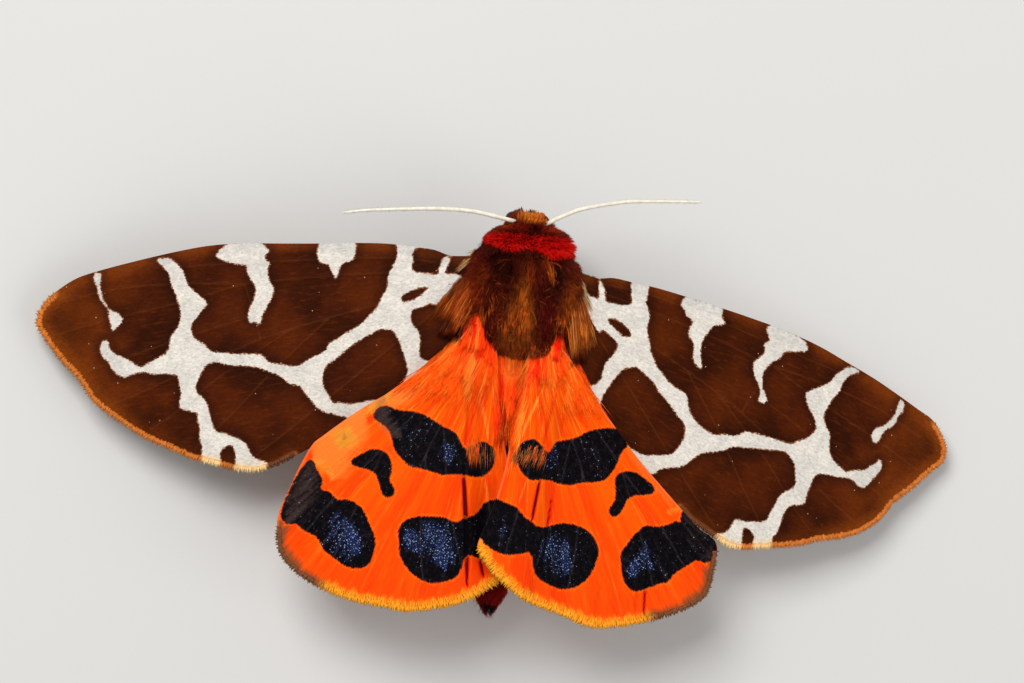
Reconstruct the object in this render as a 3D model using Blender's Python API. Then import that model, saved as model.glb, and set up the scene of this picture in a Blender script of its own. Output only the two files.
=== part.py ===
"""Garden tiger moth standing with its four wings spread, the hindwings over the forewings.

Lengths are millimetres here and become metres when a mesh is made.
+Y points to the head, +X to the moth's right, the floor is z = 0.
"""
import math
import random

import bmesh
import bpy
from mathutils import Vector
from mathutils.geometry import delaunay_2d_cdt

MM = 0.001
PLACE = (0.09, 7.75)            # brings the middle of the whole over the origin
SEED = 41

GAP = 0.3                     # air between neighbouring parts
POCKET_SLACK = 0.1            # added round a wing, whose ridges stand above its sheet
WING_THICK = 0.5
VEIN_HEIGHT = 0.16            # ridge above the membrane
VEIN_HALF = 0.34              # half width of a ridge at its foot
UNDER_RIDGE = 0.6             # the lower ridge as a share of the upper
VEIN_STEP = 2.5
OUTLINE_STEP = 1.25
GRID_STEP = 2.6

# Wing hinges: position, backward sweep and droop in degrees
FORE_LEFT = ((-4.3, 0.6, 7.9), 13.0, 10.0)
FORE_RIGHT = ((4.3, 0.6, 7.9), 17.5, 10.0)
HIND_LEFT = ((-3.4, -3.2, 9.0), 48.0, 8.0)
HIND_RIGHT = ((3.0, -3.4, 9.2), 44.0, 8.0)

# Wing outlines in the wing's own plane: u out along the span, v forward
FORE_LEFT_OUTLINE = (
    (-1.3, 0.9), (0.6, 1.4), (1.6, 1.9), (3.0, 2.3), (5.0, 2.75), (7.2, 3.05), (9.7, 3.3), (12.3, 3.6),
    (15.0, 3.92), (17.3, 4.03), (19.6, 3.9), (22.4, 3.6), (25.2, 3.22), (27.1, 2.83), (28.8, 2.0),
    (29.6, 1.4), (30.1, 0.75), (30.3, 0.1), (30.2, -0.4), (29.6, -1.6), (28.8, -2.9), (27.8, -4.2),
    (26.8, -6.0), (25.1, -7.6), (23.4, -8.95), (22.0, -9.75), (20.2, -10.75), (18.4, -11.45),
    (17.3, -11.85), (16.1, -12.1), (15.1, -12.0), (14.0, -11.7), (12.0, -10.9), (10.0, -10.3),
    (7.5, -9.4), (5.0, -8.2), (2.6, -6.4), (1.2, -4.5), (0.2, -2.4), (-1.0, -1.2))
FORE_RIGHT_OUTLINE = (
    (-1.3, 0.6), (0.7, 1.1), (1.8, 1.6), (3.2, 1.9), (5.2, 2.3), (7.3, 2.6), (10.1, 2.95), (12.6, 3.22),
    (15.0, 3.42), (17.9, 3.48), (20.4, 3.3), (22.9, 3.1), (25.1, 2.8), (27.3, 2.45), (28.2, 2.33),
    (29.0, 2.06), (29.7, 1.6), (30.3, 1.06), (30.6, 0.5), (30.7, -0.1), (30.45, -0.65), (29.9, -1.6),
    (29.3, -2.8), (28.3, -4.4), (27.8, -5.9), (26.8, -7.3), (25.4, -8.4), (24.0, -9.15), (22.8, -10.0),
    (20.7, -11.1), (19.0, -11.9), (17.6, -12.35), (16.1, -12.1), (14.0, -11.7), (12.3, -11.0),
    (10.0, -10.5), (7.5, -9.6), (5.0, -8.2), (2.6, -6.4), (1.2, -4.5), (0.2, -2.4), (-1.0, -1.2))
HIND_LEFT_OUTLINE = (
    (-1.3, 0.2), (1.0, 0.0), (3.2, 0.0), (5.0, 0.25), (7.2, 0.5), (8.5, 0.75), (10.0, 1.0), (12.5, 1.25),
    (13.5, 1.28), (15.0, 0.8), (16.5, 0.15), (18.0, -0.5), (19.0, -1.2), (20.0, -2.3), (20.35, -3.3),
    (20.35, -4.3), (20.1, -5.5), (19.5, -7.2), (18.7, -8.7), (17.5, -10.3), (16.2, -11.9), (14.5, -13.1),
    (13.0, -13.9), (11.5, -14.35), (10.2, -14.6), (9.0, -14.6), (7.8, -14.2), (7.1, -13.4), (6.0, -11.6),
    (4.6, -9.5), (3.4, -7.5), (1.9, -5.4), (0.5, -3.6), (-0.6, -2.2), (-1.6, -1.1))
HIND_RIGHT_OUTLINE = (
    (-1.3, -0.2), (1.0, -0.1), (2.6, -0.25), (4.0, -0.5), (6.5, -0.6), (10.0, -0.75), (14.0, -0.6),
    (16.5, -0.45), (17.6, -0.15), (18.4, -0.15), (19.2, -0.8), (20.1, -1.9), (20.7, -2.9), (20.7, -3.9),
    (20.35, -5.2), (19.8, -6.5), (19.2, -7.7), (18.3, -9.2), (16.9, -10.9), (15.2, -11.8), (13.4, -12.8),
    (11.8, -13.55), (10.1, -13.9), (8.6, -14.0), (7.2, -13.75), (6.6, -13.0), (6.0, -11.8), (5.3, -10.5),
    (4.3, -9.0), (3.0, -7.3), (1.3, -5.0), (0.2, -3.6), (-0.7, -2.4), (-1.7, -1.2))

# Main veins, as chains of points in the same planes
FORE_VEINS = (
    ((1.0, 0.9), (5.0, 1.75), (10.0, 2.2), (15.0, 2.55), (19.0, 2.75), (21.5, 2.95)),
    ((0.4, 0.2), (5.0, 0.7), (10.0, 1.0), (15.2, 1.1), (20.0, 1.65), (24.5, 1.75), (28.2, 1.3)),
    ((15.2, 1.1), (20.0, 0.3), (25.0, -0.3), (28.9, -0.9)),
    ((15.2, 1.1), (14.8, -0.8), (14.5, -2.9)),
    ((14.75, -1.2), (20.0, -2.2), (24.5, -3.2), (27.3, -3.8)),
    ((0.4, -0.6), (5.0, -1.3), (9.5, -1.95), (14.5, -2.9), (19.5, -4.4), (23.5, -5.7), (25.9, -6.3)),
    ((12.4, -2.5), (17.5, -5.1), (21.0, -7.3), (23.0, -8.3)),
    ((9.5, -1.95), (13.5, -4.9), (17.0, -7.8), (20.0, -10.0)),
    ((0.6, -1.4), (5.0, -4.2), (10.0, -7.4), (14.0, -9.9), (16.2, -11.2)))
FORE_RIGHT_TURN = -0.022      # slope added to the right forewing's veins
HIND_VEINS = (
    ((0.6, -1.0), (5.0, -1.6), (9.5, -2.1), (14.0, -2.4), (18.9, -3.1)),
    ((9.5, -2.1), (14.5, -4.2), (18.7, -6.1)),
    ((9.5, -2.1), (9.6, -3.5), (9.0, -4.9)),
    ((0.6, -1.6), (5.0, -3.3), (9.0, -4.9), (13.0, -7.0), (17.0, -9.4)),
    ((8.0, -4.5), (11.8, -8.2), (14.3, -11.3)),
    ((5.6, -3.55), (9.2, -8.3), (11.6, -12.6)),
    ((0.6, -2.4), (4.5, -6.6), (7.2, -10.2), (9.0, -13.0)))
HIND_LEFT_COSTAL = ((0.6, -0.4), (6.0, -0.4), (12.0, 0.1), (16.4, -0.7))

FORE_CURL = (9.0, -0.0028)    # from this u on, the membrane curves down by this times the square
HIND_CURL = (12.0, -0.0035)
# A fold beside the body: its line, and how far the membrane past it drops or rises
FOLD_LEFT = ((5.6, -5.6), (12.0, -13.4), -0.74)
FOLD_RIGHT = ((6.8, -5.6), (13.0, -12.8), 0.62)
FOLD_WIDTH = 1.6
FOLD_START, FOLD_RUN = 1.5, 3.0

# Body stations: y, centre z, half width, height above and below the centre
BODY_X = 0.15
THORAX_STATIONS = (
    (2.55, 7.0, 2.75, 1.9, 2.5), (1.9, 6.9, 3.35, 2.6, 3.3), (0.6, 6.8, 3.85, 3.15, 3.9),
    (-0.9, 6.8, 3.9, 3.3, 4.0), (-2.2, 6.8, 3.55, 3.3, 3.8), (-3.4, 6.7, 2.95, 3.0, 3.4),
    (-4.25, 6.4, 2.2, 2.4, 2.9))
COLLAR_STATIONS = (
    (2.85, 7.1, 2.75, 1.85, 2.3), (3.35, 7.1, 2.7, 1.8, 2.2), (3.75, 7.0, 2.25, 1.55, 2.0),
    (4.1, 6.85, 1.7, 1.25, 1.7))
HEAD_STATIONS = (
    (4.4, 6.55, 1.35, 1.25, 1.5), (4.65, 6.5, 1.42, 1.4, 1.75), (4.95, 6.45, 1.25, 1.35, 1.7),
    (5.2, 6.35, 1.0, 1.1, 1.4), (5.35, 6.2, 0.6, 0.7, 0.9))
ABDOMEN_STATIONS = (
    (-4.55, 5.9, 1.95, 1.9, 2.0), (-5.6, 5.65, 2.5, 2.15, 2.3), (-8.0, 5.4, 2.85, 2.35, 2.45),
    (-11.0, 5.3, 2.9, 2.4, 2.45), (-14.0, 5.2, 2.6, 2.2, 2.2), (-16.8, 5.1, 2.15, 1.85, 1.85),
    (-19.2, 5.0, 1.6, 1.45, 1.45), (-21.0, 4.9, 1.05, 1.0, 1.0), (-22.1, 4.85, 0.5, 0.5, 0.5))
ABDOMEN_RINGS = 8
ABDOMEN_LEAN = 0.45           # sideways shift of the tail
FULLNESS = 2.4                # superellipse exponent of the body's sections

EYE_RADIUS = 0.56
EYE_PLACE = (0.98, 4.94, 5.45)
ANTENNA_LEFT = (
    (-0.55, 4.95, 7.2), (-1.15, 4.95, 7.7), (-2.1, 5.05, 7.9), (-4.0, 5.2, 8.1), (-6.2, 5.1, 8.2),
    (-8.5, 4.78, 8.2), (-11.2, 4.35, 8.0), (-13.0, 3.95, 7.8))
ANTENNA_RIGHT = (
    (0.85, 4.95, 7.2), (1.4, 5.15, 7.7), (2.15, 5.6, 7.9), (3.7, 6.3, 8.1), (6.5, 7.0, 8.2),
    (8.5, 7.25, 8.2), (11.0, 7.5, 8.0), (12.0, 7.6, 7.9))
ANTENNA_RADII = (0.3, 0.29, 0.27, 0.26, 0.26, 0.25, 0.2, 0.1)

# Legs: hip, trochanter, knee, ankle, first and last joint of the foot, which lies on the floor
LEGS = {
    "fore": ((1.5, 1.2, 4.4), (2.5, 1.5, 3.1), (5.3, 1.3, 5.0), (8.0, 0.4, 1.4), (8.5, 0.2, None),
             (10.4, -0.4, None)),
    "mid": ((1.6, -0.9, 4.2), (2.7, -1.1, 2.9), (6.2, -2.4, 5.0), (9.5, -4.2, 1.4), (10.0, -4.5, None),
            (12.0, -5.7, None)),
    "hind": ((1.5, -2.7, 4.4), (2.5, -3.5, 3.1), (4.7, -7.2, 4.7), (7.5, -12.3, 1.4), (7.8, -12.9, None),
             (8.8, -15.3, None))}
# Along each leg length: share of the way and radius there
LEG_PARTS = (
    ((0.0, 0.62), (0.6, 0.58)), ((0.0, 0.46), (0.3, 0.5), (0.7, 0.46), (0.93, 0.34)),
    ((0.05, 0.36), (0.5, 0.32), (0.95, 0.36)), ((0.3, 0.28),),
    ((0.0, 0.3), (0.18, 0.26), (0.24, 0.29), (0.42, 0.25), (0.48, 0.28), (0.68, 0.25), (0.74, 0.28),
     (1.0, 0.25)))
LEG_SIDES = 8
SOCKET_SPANS = ((0, 3), (2, 7))           # the coxa and the femur, each cut out straight
FOOT_REST = 0.28              # height of a foot's axis over the floor

# Locks of the coat: rows as (y, first angle, last angle, count, length, width); angles from the top
LOCK_THICK = 0.5
# Down a lock: share of its length, of its width and of its thickness, and height over the skin
LOCK_RINGS = ((0.0, 0.6, 0.7, -0.42), (0.42, 1.0, 1.0, 0.06), (0.8, 0.62, 0.7, 0.24))
LOCK_TIP = 0.12
THORAX_LOCKS = (
    (2.45, -88, 88, 9, 2.7, 1.25), (1.5, -78, 78, 8, 2.8, 1.3), (0.5, -84, 84, 9, 2.9, 1.3),
    (-0.6, -70, 70, 8, 2.9, 1.25), (-1.6, -74, 74, 8, 2.7, 1.2), (-2.6, -48, 48, 6, 2.4, 1.1))
UNDER_LOCKS = ((1.7, 124, 236, 4, 2.4, 1.4), (0.1, 136, 224, 3, 2.5, 1.4), (-1.6, 140, 220, 3, 2.3, 1.3))
COLLAR_LOCKS = ((4.0, -104, 104, 12, 1.25, 0.85), (3.6, -112, 112, 11, 0.85, 0.9))
TEGULA_COUNT = 5
TEGULA_ROOT = (1.7, -0.38, 48, 7)         # y and its step, angle and its step
TEGULA_TIP_LEFT = (-5.7, -3.3, 9.8)
TEGULA_TIP_RIGHT = (5.6, -3.7, 9.85)
TEGULA_SPREAD = (-0.42, -0.14)            # how the next tip lies, toward the body and back
TAIL_LOCKS = ((-20.2, 0, 300, 6, 2.2, 0.9), (-19.0, 30, 330, 6, 2.0, 1.0))
BROW_LOCKS = ((-0.75, 4.7, 0.85), (-0.4, 4.75, 0.95), (0.0, 4.8, 1.0), (0.4, 4.75, 0.95), (0.75, 4.7, 0.85),
              (-0.5, 4.98, 0.65), (-0.17, 5.02, 0.7), (0.17, 5.02, 0.7), (0.5, 4.98, 0.65))
PALP = ((0.4, 4.95, 5.0), (0.47, 5.25, 4.65), (0.43, 5.45, 4.8))
PALP_RADII = (0.36, 0.36, 0.26)

COLOURS = {
    "forewing": ((0.075, 0.022, 0.008), 0.75), "hindwing": ((0.85, 0.16, 0.02), 0.7),
    "thorax": ((0.07, 0.02, 0.009), 0.85), "collar": ((0.5, 0.015, 0.01), 0.8),
    "head": ((0.22, 0.075, 0.02), 0.85), "eye": ((0.01, 0.009, 0.008), 0.15),
    "antenna": ((0.75, 0.7, 0.58), 0.6), "abdomen": ((0.55, 0.07, 0.02), 0.8),
    "leg": ((0.12, 0.035, 0.015), 0.75)}

rng = random.Random(SEED)


def clear_scene():
    for obj in list(bpy.data.objects):
        bpy.data.objects.remove(obj, do_unlink=True)


def material(kind):
    found = bpy.data.materials.get(kind)
    if found:
        return found
    mat = bpy.data.materials.new(kind)
    mat.use_nodes = True
    shader = mat.node_tree.nodes["Principled BSDF"]
    colour, rough = COLOURS[kind]
    shader.inputs["Base Color"].default_value = (*colour, 1.0)
    shader.inputs["Roughness"].default_value = rough
    shader.inputs["Metallic"].default_value = 0.0
    mat.diffuse_color = (*colour, 1.0)
    return mat


def place(p):
    return Vector(((p[0] + PLACE[0]) * MM, (p[1] + PLACE[1]) * MM, p[2] * MM))


def make_object(name, verts, faces, kind=None):
    """A closed, triangulated mesh object facing outward."""
    bm = bmesh.new()
    made = [bm.verts.new(place(v)) for v in verts]
    for face in faces:
        bm.faces.new([made[i] for i in face])
    bmesh.ops.triangulate(bm, faces=bm.faces[:])
    bmesh.ops.recalc_face_normals(bm, faces=bm.faces[:])
    mesh = bpy.data.meshes.new(name)
    bm.to_mesh(mesh)
    bm.free()
    obj = bpy.data.objects.new(name, mesh)
    bpy.context.scene.collection.objects.link(obj)
    if kind:
        mesh.materials.append(material(kind))
    return obj


def loft(rings):
    """Closed skin over rings of equal count, the ends capped with fans."""
    count = len(rings[0])
    verts = [p for ring in rings for p in ring]
    faces = []
    for r in range(len(rings) - 1):
        for i in range(count):
            j = (i + 1) % count
            faces.append((r * count + i, r * count + j, (r + 1) * count + j, (r + 1) * count + i))
    for r in (0, len(rings) - 1):
        verts.append(sum((Vector(p) for p in rings[r]), Vector()) / count)
        for i in range(count):
            faces.append((r * count + i, r * count + (i + 1) % count, len(verts) - 1))
    return verts, faces


def smooth_chain(points, step):
    """Catmull-Rom curve through the points with about equal steps."""
    pts = [Vector(p) for p in points]
    ends = [2 * pts[0] - pts[1]] + pts + [2 * pts[-1] - pts[-2]]
    out = [pts[0]]
    for i in range(1, len(ends) - 2):
        a, b, c, d = ends[i - 1:i + 3]
        cuts = max(1, round((c - b).length / step))
        for k in range(1, cuts + 1):
            t = k / cuts
            out.append(0.5 * (2 * b + (c - a) * t + (2 * a - 5 * b + 4 * c - d) * t * t
                              + (3 * b - a - 3 * c + d) * t ** 3))
    return out


def smooth_loop(points, step):
    wrapped = list(points[-2:]) + list(points) + list(points[:3])
    dense = smooth_chain(wrapped, 0.2)
    start = min(range(len(dense) // 2), key=lambda i: (dense[i] - Vector(points[0])).length)
    end = min(range(len(dense) // 2, len(dense)), key=lambda i: (dense[i] - Vector(points[0])).length)
    dense = dense[start:end + 1]
    lengths = [0.0]
    for a, b in zip(dense, dense[1:]):
        lengths.append(lengths[-1] + (b - a).length)
    count = round(lengths[-1] / step)
    out = []
    k = 0
    for i in range(count):
        want = lengths[-1] * i / count
        while lengths[k + 1] < want:
            k += 1
        t = (want - lengths[k]) / (lengths[k + 1] - lengths[k])
        out.append(dense[k].lerp(dense[k + 1], t))
    return out


def inside(p, loop):
    hit = False
    for a, b in zip(loop, loop[1:] + loop[:1]):
        if (a[1] > p[1]) != (b[1] > p[1]) and p[0] < (b[0] - a[0]) * (p[1] - a[1]) / (b[1] - a[1]) + a[0]:
            hit = not hit
    return hit


def chain_distance(p, chain):
    best = 1e9
    for a, b in zip(chain, chain[1:]):
        along = b - a
        t = max(0.0, min(1.0, (p - a).dot(along) / along.length_squared))
        best = min(best, (p - a - along * t).length)
    return best


def offset_chain(chain, shift):
    out = []
    for i, p in enumerate(chain):
        ahead = chain[min(i + 1, len(chain) - 1)] - chain[max(i - 1, 0)]
        out.append(p + Vector((-ahead.y, ahead.x)).normalized() * shift)
    return out


def offset_loop(loop, shift):
    """The loop moved outward by shift; loops here run clockwise."""
    out = []
    for i, p in enumerate(loop):
        ahead = loop[(i + 1) % len(loop)] - loop[i - 1]
        out.append(p + Vector((-ahead.y, ahead.x)).normalized() * shift)
    return out


def smoothstep(t):
    t = max(0.0, min(1.0, t))
    return t * t * (3 - 2 * t)


def fore_lift(u, v):
    start, rate = FORE_CURL
    return rate * max(0.0, u - start) ** 2


def hind_lift(fold):
    a, b = Vector(fold[0]), Vector(fold[1])
    along = (b - a).normalized()

    def lift(u, v):
        start, rate = HIND_CURL
        past = Vector((u, v)) - a
        side = -(past.x * along.y - past.y * along.x)
        down = smoothstep(-side / FOLD_WIDTH) * smoothstep((math.hypot(u, v) - FOLD_START) / FOLD_RUN)
        return rate * max(0.0, math.hypot(u, v) - start) ** 2 + fold[2] * down
    return lift


def wing_point(hinge, side, p):
    """From the wing's plane (u, v, w) to the moth's space."""
    root, sweep, droop = hinge
    s, c = math.sin(math.radians(sweep)), math.cos(math.radians(sweep))
    sd, cd = math.sin(math.radians(droop)), math.cos(math.radians(droop))
    x, y = c * p[0] + s * p[1], -s * p[0] + c * p[1]
    return (side * (cd * x + sd * p[2]) + root[0], y + root[1], -sd * x + cd * p[2] + root[2])


def wing_sheet(outline, veins, lift, thick, ridge):
    """Top and bottom faces cut alike, with each vein raised in both, and a wall between."""
    points = [p.copy() for p in outline]
    edges = [(i, (i + 1) % len(outline)) for i in range(len(outline))]
    for chain in veins:
        for line in (chain, offset_chain(chain, VEIN_HALF), offset_chain(chain, -VEIN_HALF)):
            first = len(points)
            points.extend(line)
            edges.extend((first + i, first + i + 1) for i in range(len(line) - 1))
    low_u, low_v = min(p.x for p in outline), min(p.y for p in outline)
    for i in range(1, 14):
        for k in range(1, 8):
            p = Vector((low_u + i * GRID_STEP, low_v + (k + 0.5 * (i % 2)) * GRID_STEP))
            near = min((chain_distance(p, c) for c in veins), default=9.0)
            if inside(p, outline) and min(near, chain_distance(p, outline + outline[:1])) > 1.0:
                points.append(p)
    flat, _, tris, _, _, _ = delaunay_2d_cdt(points, edges, [], 0, 0.02)
    tris = [t for t in tris if inside((flat[t[0]] + flat[t[1]] + flat[t[2]]) / 3, outline)]
    used = sorted({i for t in tris for i in t})
    index = {old: new for new, old in enumerate(used)}
    tris = [tuple(index[i] for i in t) for t in tris]
    top, bottom = [], []
    for i in used:
        p = flat[i]
        near = min((chain_distance(p, c) for c in veins), default=9.0)
        high = ridge * max(0.0, 1.0 - near / VEIN_HALF)
        base = lift(p.x, p.y)
        top.append((p.x, p.y, base + thick / 2 + high))
        bottom.append((p.x, p.y, base - thick / 2 - high * UNDER_RIDGE))
    count = len(used)
    faces = list(tris) + [tuple(i + count for i in reversed(t)) for t in tris]
    directed = {(t[k], t[(k + 1) % 3]) for t in tris for k in range(3)}
    for a, b in directed:
        if (b, a) not in directed:
            faces.append((b, a, a + count))
            faces.append((b, a + count, b + count))
    return top + bottom, faces


def make_wing(name, hinge, side, outline, veins, lift, kind):
    loop = smooth_loop(outline, OUTLINE_STEP)
    chains = [smooth_chain(c, VEIN_STEP) for c in veins]
    verts, faces = wing_sheet(loop, chains, lift, WING_THICK, VEIN_HEIGHT)
    return make_object(name, [wing_point(hinge, side, v) for v in verts], faces, kind)


def wing_cutter(hinge, side, outline, lift, reach):
    """The inner part of a wing, thicker and wider by the gap, to cut its pocket."""
    loop = smooth_loop(outline, 0.8)
    near = [p for p in loop if p.x < reach]
    near = offset_loop(near, GAP + POCKET_SLACK)
    verts, faces = wing_sheet(near, [], lift, WING_THICK + 2 * (GAP + POCKET_SLACK), 0.0)
    return make_object("cutter", [wing_point(hinge, side, v) for v in verts], faces)


def section(y, z, half, up, down, x, count):
    ring = []
    for i in range(count):
        a = 2 * math.pi * i / count
        ca, sa = math.cos(a), math.sin(a)
        px = math.copysign(abs(sa) ** (2 / FULLNESS), sa) * half
        pz = math.copysign(abs(ca) ** (2 / FULLNESS), ca) * (up if ca > 0 else down)
        ring.append((x + px, y, z + pz))
    return ring


def body_rings(stations, count, step, lean=0.0, rings=0, ring_rise=0.0):
    dense = smooth_chain([Vector(s).resized(3) for s in ((y, 0, 0) for y, *_ in stations)], step)
    out = []
    for d in dense:
        values = station_at(stations, d.x)
        y, z, half, up, down = values
        span = (y - stations[0][0]) / (stations[-1][0] - stations[0][0])
        grow = 1.0 + ring_rise * ((span * rings) % 1.0 - 0.5) if rings else 1.0
        out.append(section(y, z, half * grow, up * grow, down * grow, BODY_X + lean * span ** 2, count))
    return out


def station_at(stations, y):
    order = sorted(stations)
    y = max(order[0][0], min(order[-1][0], y))
    for a, b in zip(order, order[1:]):
        if a[0] <= y <= b[0]:
            t = (y - a[0]) / (b[0] - a[0])
            t = 0.5 * t + 0.5 * smoothstep(t)
            return tuple([y] + [a[k] + (b[k] - a[k]) * t for k in range(1, 5)])
    return order[-1]


def tube(points, radii, sides, grow=0.0, turn=0.0):
    """A bent, tapering rod; a None height rests the rod's flat side on the floor."""
    flat = math.cos(math.pi / sides)
    pts = [Vector((p[0], p[1], r * flat if p[2] is None else p[2])) for p, r in zip(points, radii)]
    rings = []
    for i, p in enumerate(pts):
        ahead = (pts[min(i + 1, len(pts) - 1)] - pts[max(i - 1, 0)]).normalized()
        right = ahead.cross(Vector((0, 0, 1)))
        right = right.normalized() if right.length > 1e-3 else Vector((1, 0, 0))
        up = right.cross(ahead)
        if points[i][2] is None:
            right, up = right, Vector((0, 0, 1))
        r = radii[i] + grow
        rings.append([p + (right * math.cos(a) + up * math.sin(a)) * r
                      for a in (2 * math.pi * (k + turn) / sides for k in range(sides))])
    if grow:
        back, front = (pts[0] - pts[1]).normalized() * grow, (pts[-1] - pts[-2]).normalized() * grow
        rings[0] = [p + back for p in rings[0]]
        rings[-1] = [p + front for p in rings[-1]]
    return loft(rings)


def ball(centre, radius, rows, cols):
    rings = []
    for r in range(1, rows):
        a = math.pi * r / rows
        rings.append([(centre[0] + radius * math.cos(a), centre[1] + radius * math.sin(a) * math.cos(b),
                       centre[2] + radius * math.sin(a) * math.sin(b))
                      for b in (2 * math.pi * k / cols for k in range(cols))])
    return loft(rings)


def apply_boolean(obj, others, operation):
    """Joins or cuts with all the other objects at once, then removes them."""
    if not others:
        return
    group = bpy.data.collections.new("operands")
    bpy.context.scene.collection.children.link(group)
    for other in others:
        group.objects.link(other)
    mod = obj.modifiers.new("shape", "BOOLEAN")
    mod.operation = operation
    mod.operand_type = "COLLECTION"
    mod.collection = group
    mod.solver = "EXACT"
    bpy.context.view_layer.update()
    shaped = bpy.data.meshes.new_from_object(obj.evaluated_get(bpy.context.evaluated_depsgraph_get()))
    obj.modifiers.clear()
    old = obj.data
    obj.data = shaped
    shaped.name = obj.name
    bpy.data.meshes.remove(old)
    for other in others:
        bpy.data.objects.remove(other, do_unlink=True)
    bpy.data.collections.remove(group)
    keep_largest(obj)


def keep_largest(obj):
    bm = bmesh.new()
    bm.from_mesh(obj.data)
    bmesh.ops.remove_doubles(bm, verts=bm.verts[:], dist=1e-7)
    bmesh.ops.triangulate(bm, faces=bm.faces[:])
    left = set(bm.verts)
    groups = []
    while left:
        stack = [left.pop()]
        group = set(stack)
        while stack:
            for edge in stack.pop().link_edges:
                for vert in edge.verts:
                    if vert in left:
                        left.discard(vert)
                        group.add(vert)
                        stack.append(vert)
        groups.append(group)
    groups.sort(key=len, reverse=True)
    for group in groups[1:]:
        bmesh.ops.delete(bm, geom=list(group), context="VERTS")
    bmesh.ops.recalc_face_normals(bm, faces=bm.faces[:])
    bm.to_mesh(obj.data)
    bm.free()


def leg_rod(name, side):
    """Points and radii down a leg; a None height is for what lies on the floor."""
    joints = [(BODY_X + side * p[0], p[1], p[2]) for p in LEGS[name]]
    points, radii = [], []
    for part, (a, b) in zip(LEG_PARTS, zip(joints, joints[1:])):
        for share, radius in part:
            low = b[2] if b[2] is not None else FOOT_REST
            high = a[2] if a[2] is not None else FOOT_REST
            z = None if a[2] is None else high + (low - high) * share
            points.append((a[0] + (b[0] - a[0]) * share, a[1] + (b[1] - a[1]) * share, z))
            radii.append(radius)
    return points, radii


def lock(root, lie, out, length, width, thick=LOCK_THICK, lift=1.0):
    """A flat, tapered lock: its root sunk, its body raised, its tip bent back to the skin."""
    across = lie.cross(out).normalized()
    rings = []
    for t, wide, deep, high in LOCK_RINGS:
        mid = root + lie * (length * t) + out * (high * (lift if high > 0 else 1.0))
        w, d = across * (0.5 * width * wide), out * (0.5 * thick * deep)
        rings.append([mid - w, mid + d, mid + w, mid - d])
    verts = [p for ring in rings for p in ring] + [root + lie * length + out * (LOCK_TIP * lift)]
    faces = [(3, 2, 1, 0)]
    for r in range(len(rings) - 1):
        faces.extend((r * 4 + i, r * 4 + (i + 1) % 4, r * 4 + 4 + (i + 1) % 4, r * 4 + 4 + i)
                     for i in range(4))
    last = 4 * len(rings) - 4
    faces.extend((last + i, last + (i + 1) % 4, last + 4) for i in range(4))
    return verts, faces


def surface(stations, y, angle):
    """A point of the body's skin and the direction out of it; angle in degrees from the top."""
    a = math.radians(angle)

    def point(at, turn):
        _, z, half, up, down = station_at(stations, at)
        ca, sa = math.cos(turn), math.sin(turn)
        return Vector((BODY_X + math.copysign(abs(sa) ** (2 / FULLNESS), sa) * half, at,
                       z + math.copysign(abs(ca) ** (2 / FULLNESS), ca) * (up if ca > 0 else down)))
    along = point(y + 0.1, a) - point(y - 0.1, a)
    round_it = point(y, a + 0.05) - point(y, a - 0.05)
    return point(y, a), round_it.cross(along).normalized()


def coat(stations, rows, sway=0.12, spread=0.18):
    """Rows of locks lying back along the body, each a little different."""
    made = []
    for y, first, last, count, length, width in rows:
        for k in range(count):
            angle = first + (last - first) * k / (count - 1) + rng.uniform(-3, 3)
            at = y + rng.uniform(-0.12, 0.12)
            root, out = surface(stations, at, angle)
            lie = Vector((spread * math.sin(math.radians(angle)) + rng.uniform(-sway, sway), -1.0, 0.0))
            lie = (lie - out * lie.dot(out)).normalized()
            size = rng.uniform(0.88, 1.12)
            made.append(make_object("lock", *lock(root, lie, out, length * size, width, lift=size)))
    return made


def build_wings():
    right_veins = [[(u, v + FORE_RIGHT_TURN * u) for u, v in chain] for chain in FORE_VEINS]
    make_wing("forewing_left", FORE_LEFT, -1, FORE_LEFT_OUTLINE, FORE_VEINS, fore_lift, "forewing")
    make_wing("forewing_right", FORE_RIGHT, 1, FORE_RIGHT_OUTLINE, right_veins, fore_lift, "forewing")
    make_wing("hindwing_left", HIND_LEFT, -1, HIND_LEFT_OUTLINE, HIND_VEINS + (HIND_LEFT_COSTAL,),
              hind_lift(FOLD_LEFT), "hindwing")
    make_wing("hindwing_right", HIND_RIGHT, 1, HIND_RIGHT_OUTLINE, HIND_VEINS, hind_lift(FOLD_RIGHT),
              "hindwing")


def wing_cutters():
    return [wing_cutter(FORE_LEFT, -1, FORE_LEFT_OUTLINE, fore_lift, 3.0),
            wing_cutter(FORE_RIGHT, 1, FORE_RIGHT_OUTLINE, fore_lift, 3.0),
            wing_cutter(HIND_LEFT, -1, HIND_LEFT_OUTLINE, hind_lift(FOLD_LEFT), 4.0),
            wing_cutter(HIND_RIGHT, 1, HIND_RIGHT_OUTLINE, hind_lift(FOLD_RIGHT), 4.0)]


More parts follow.
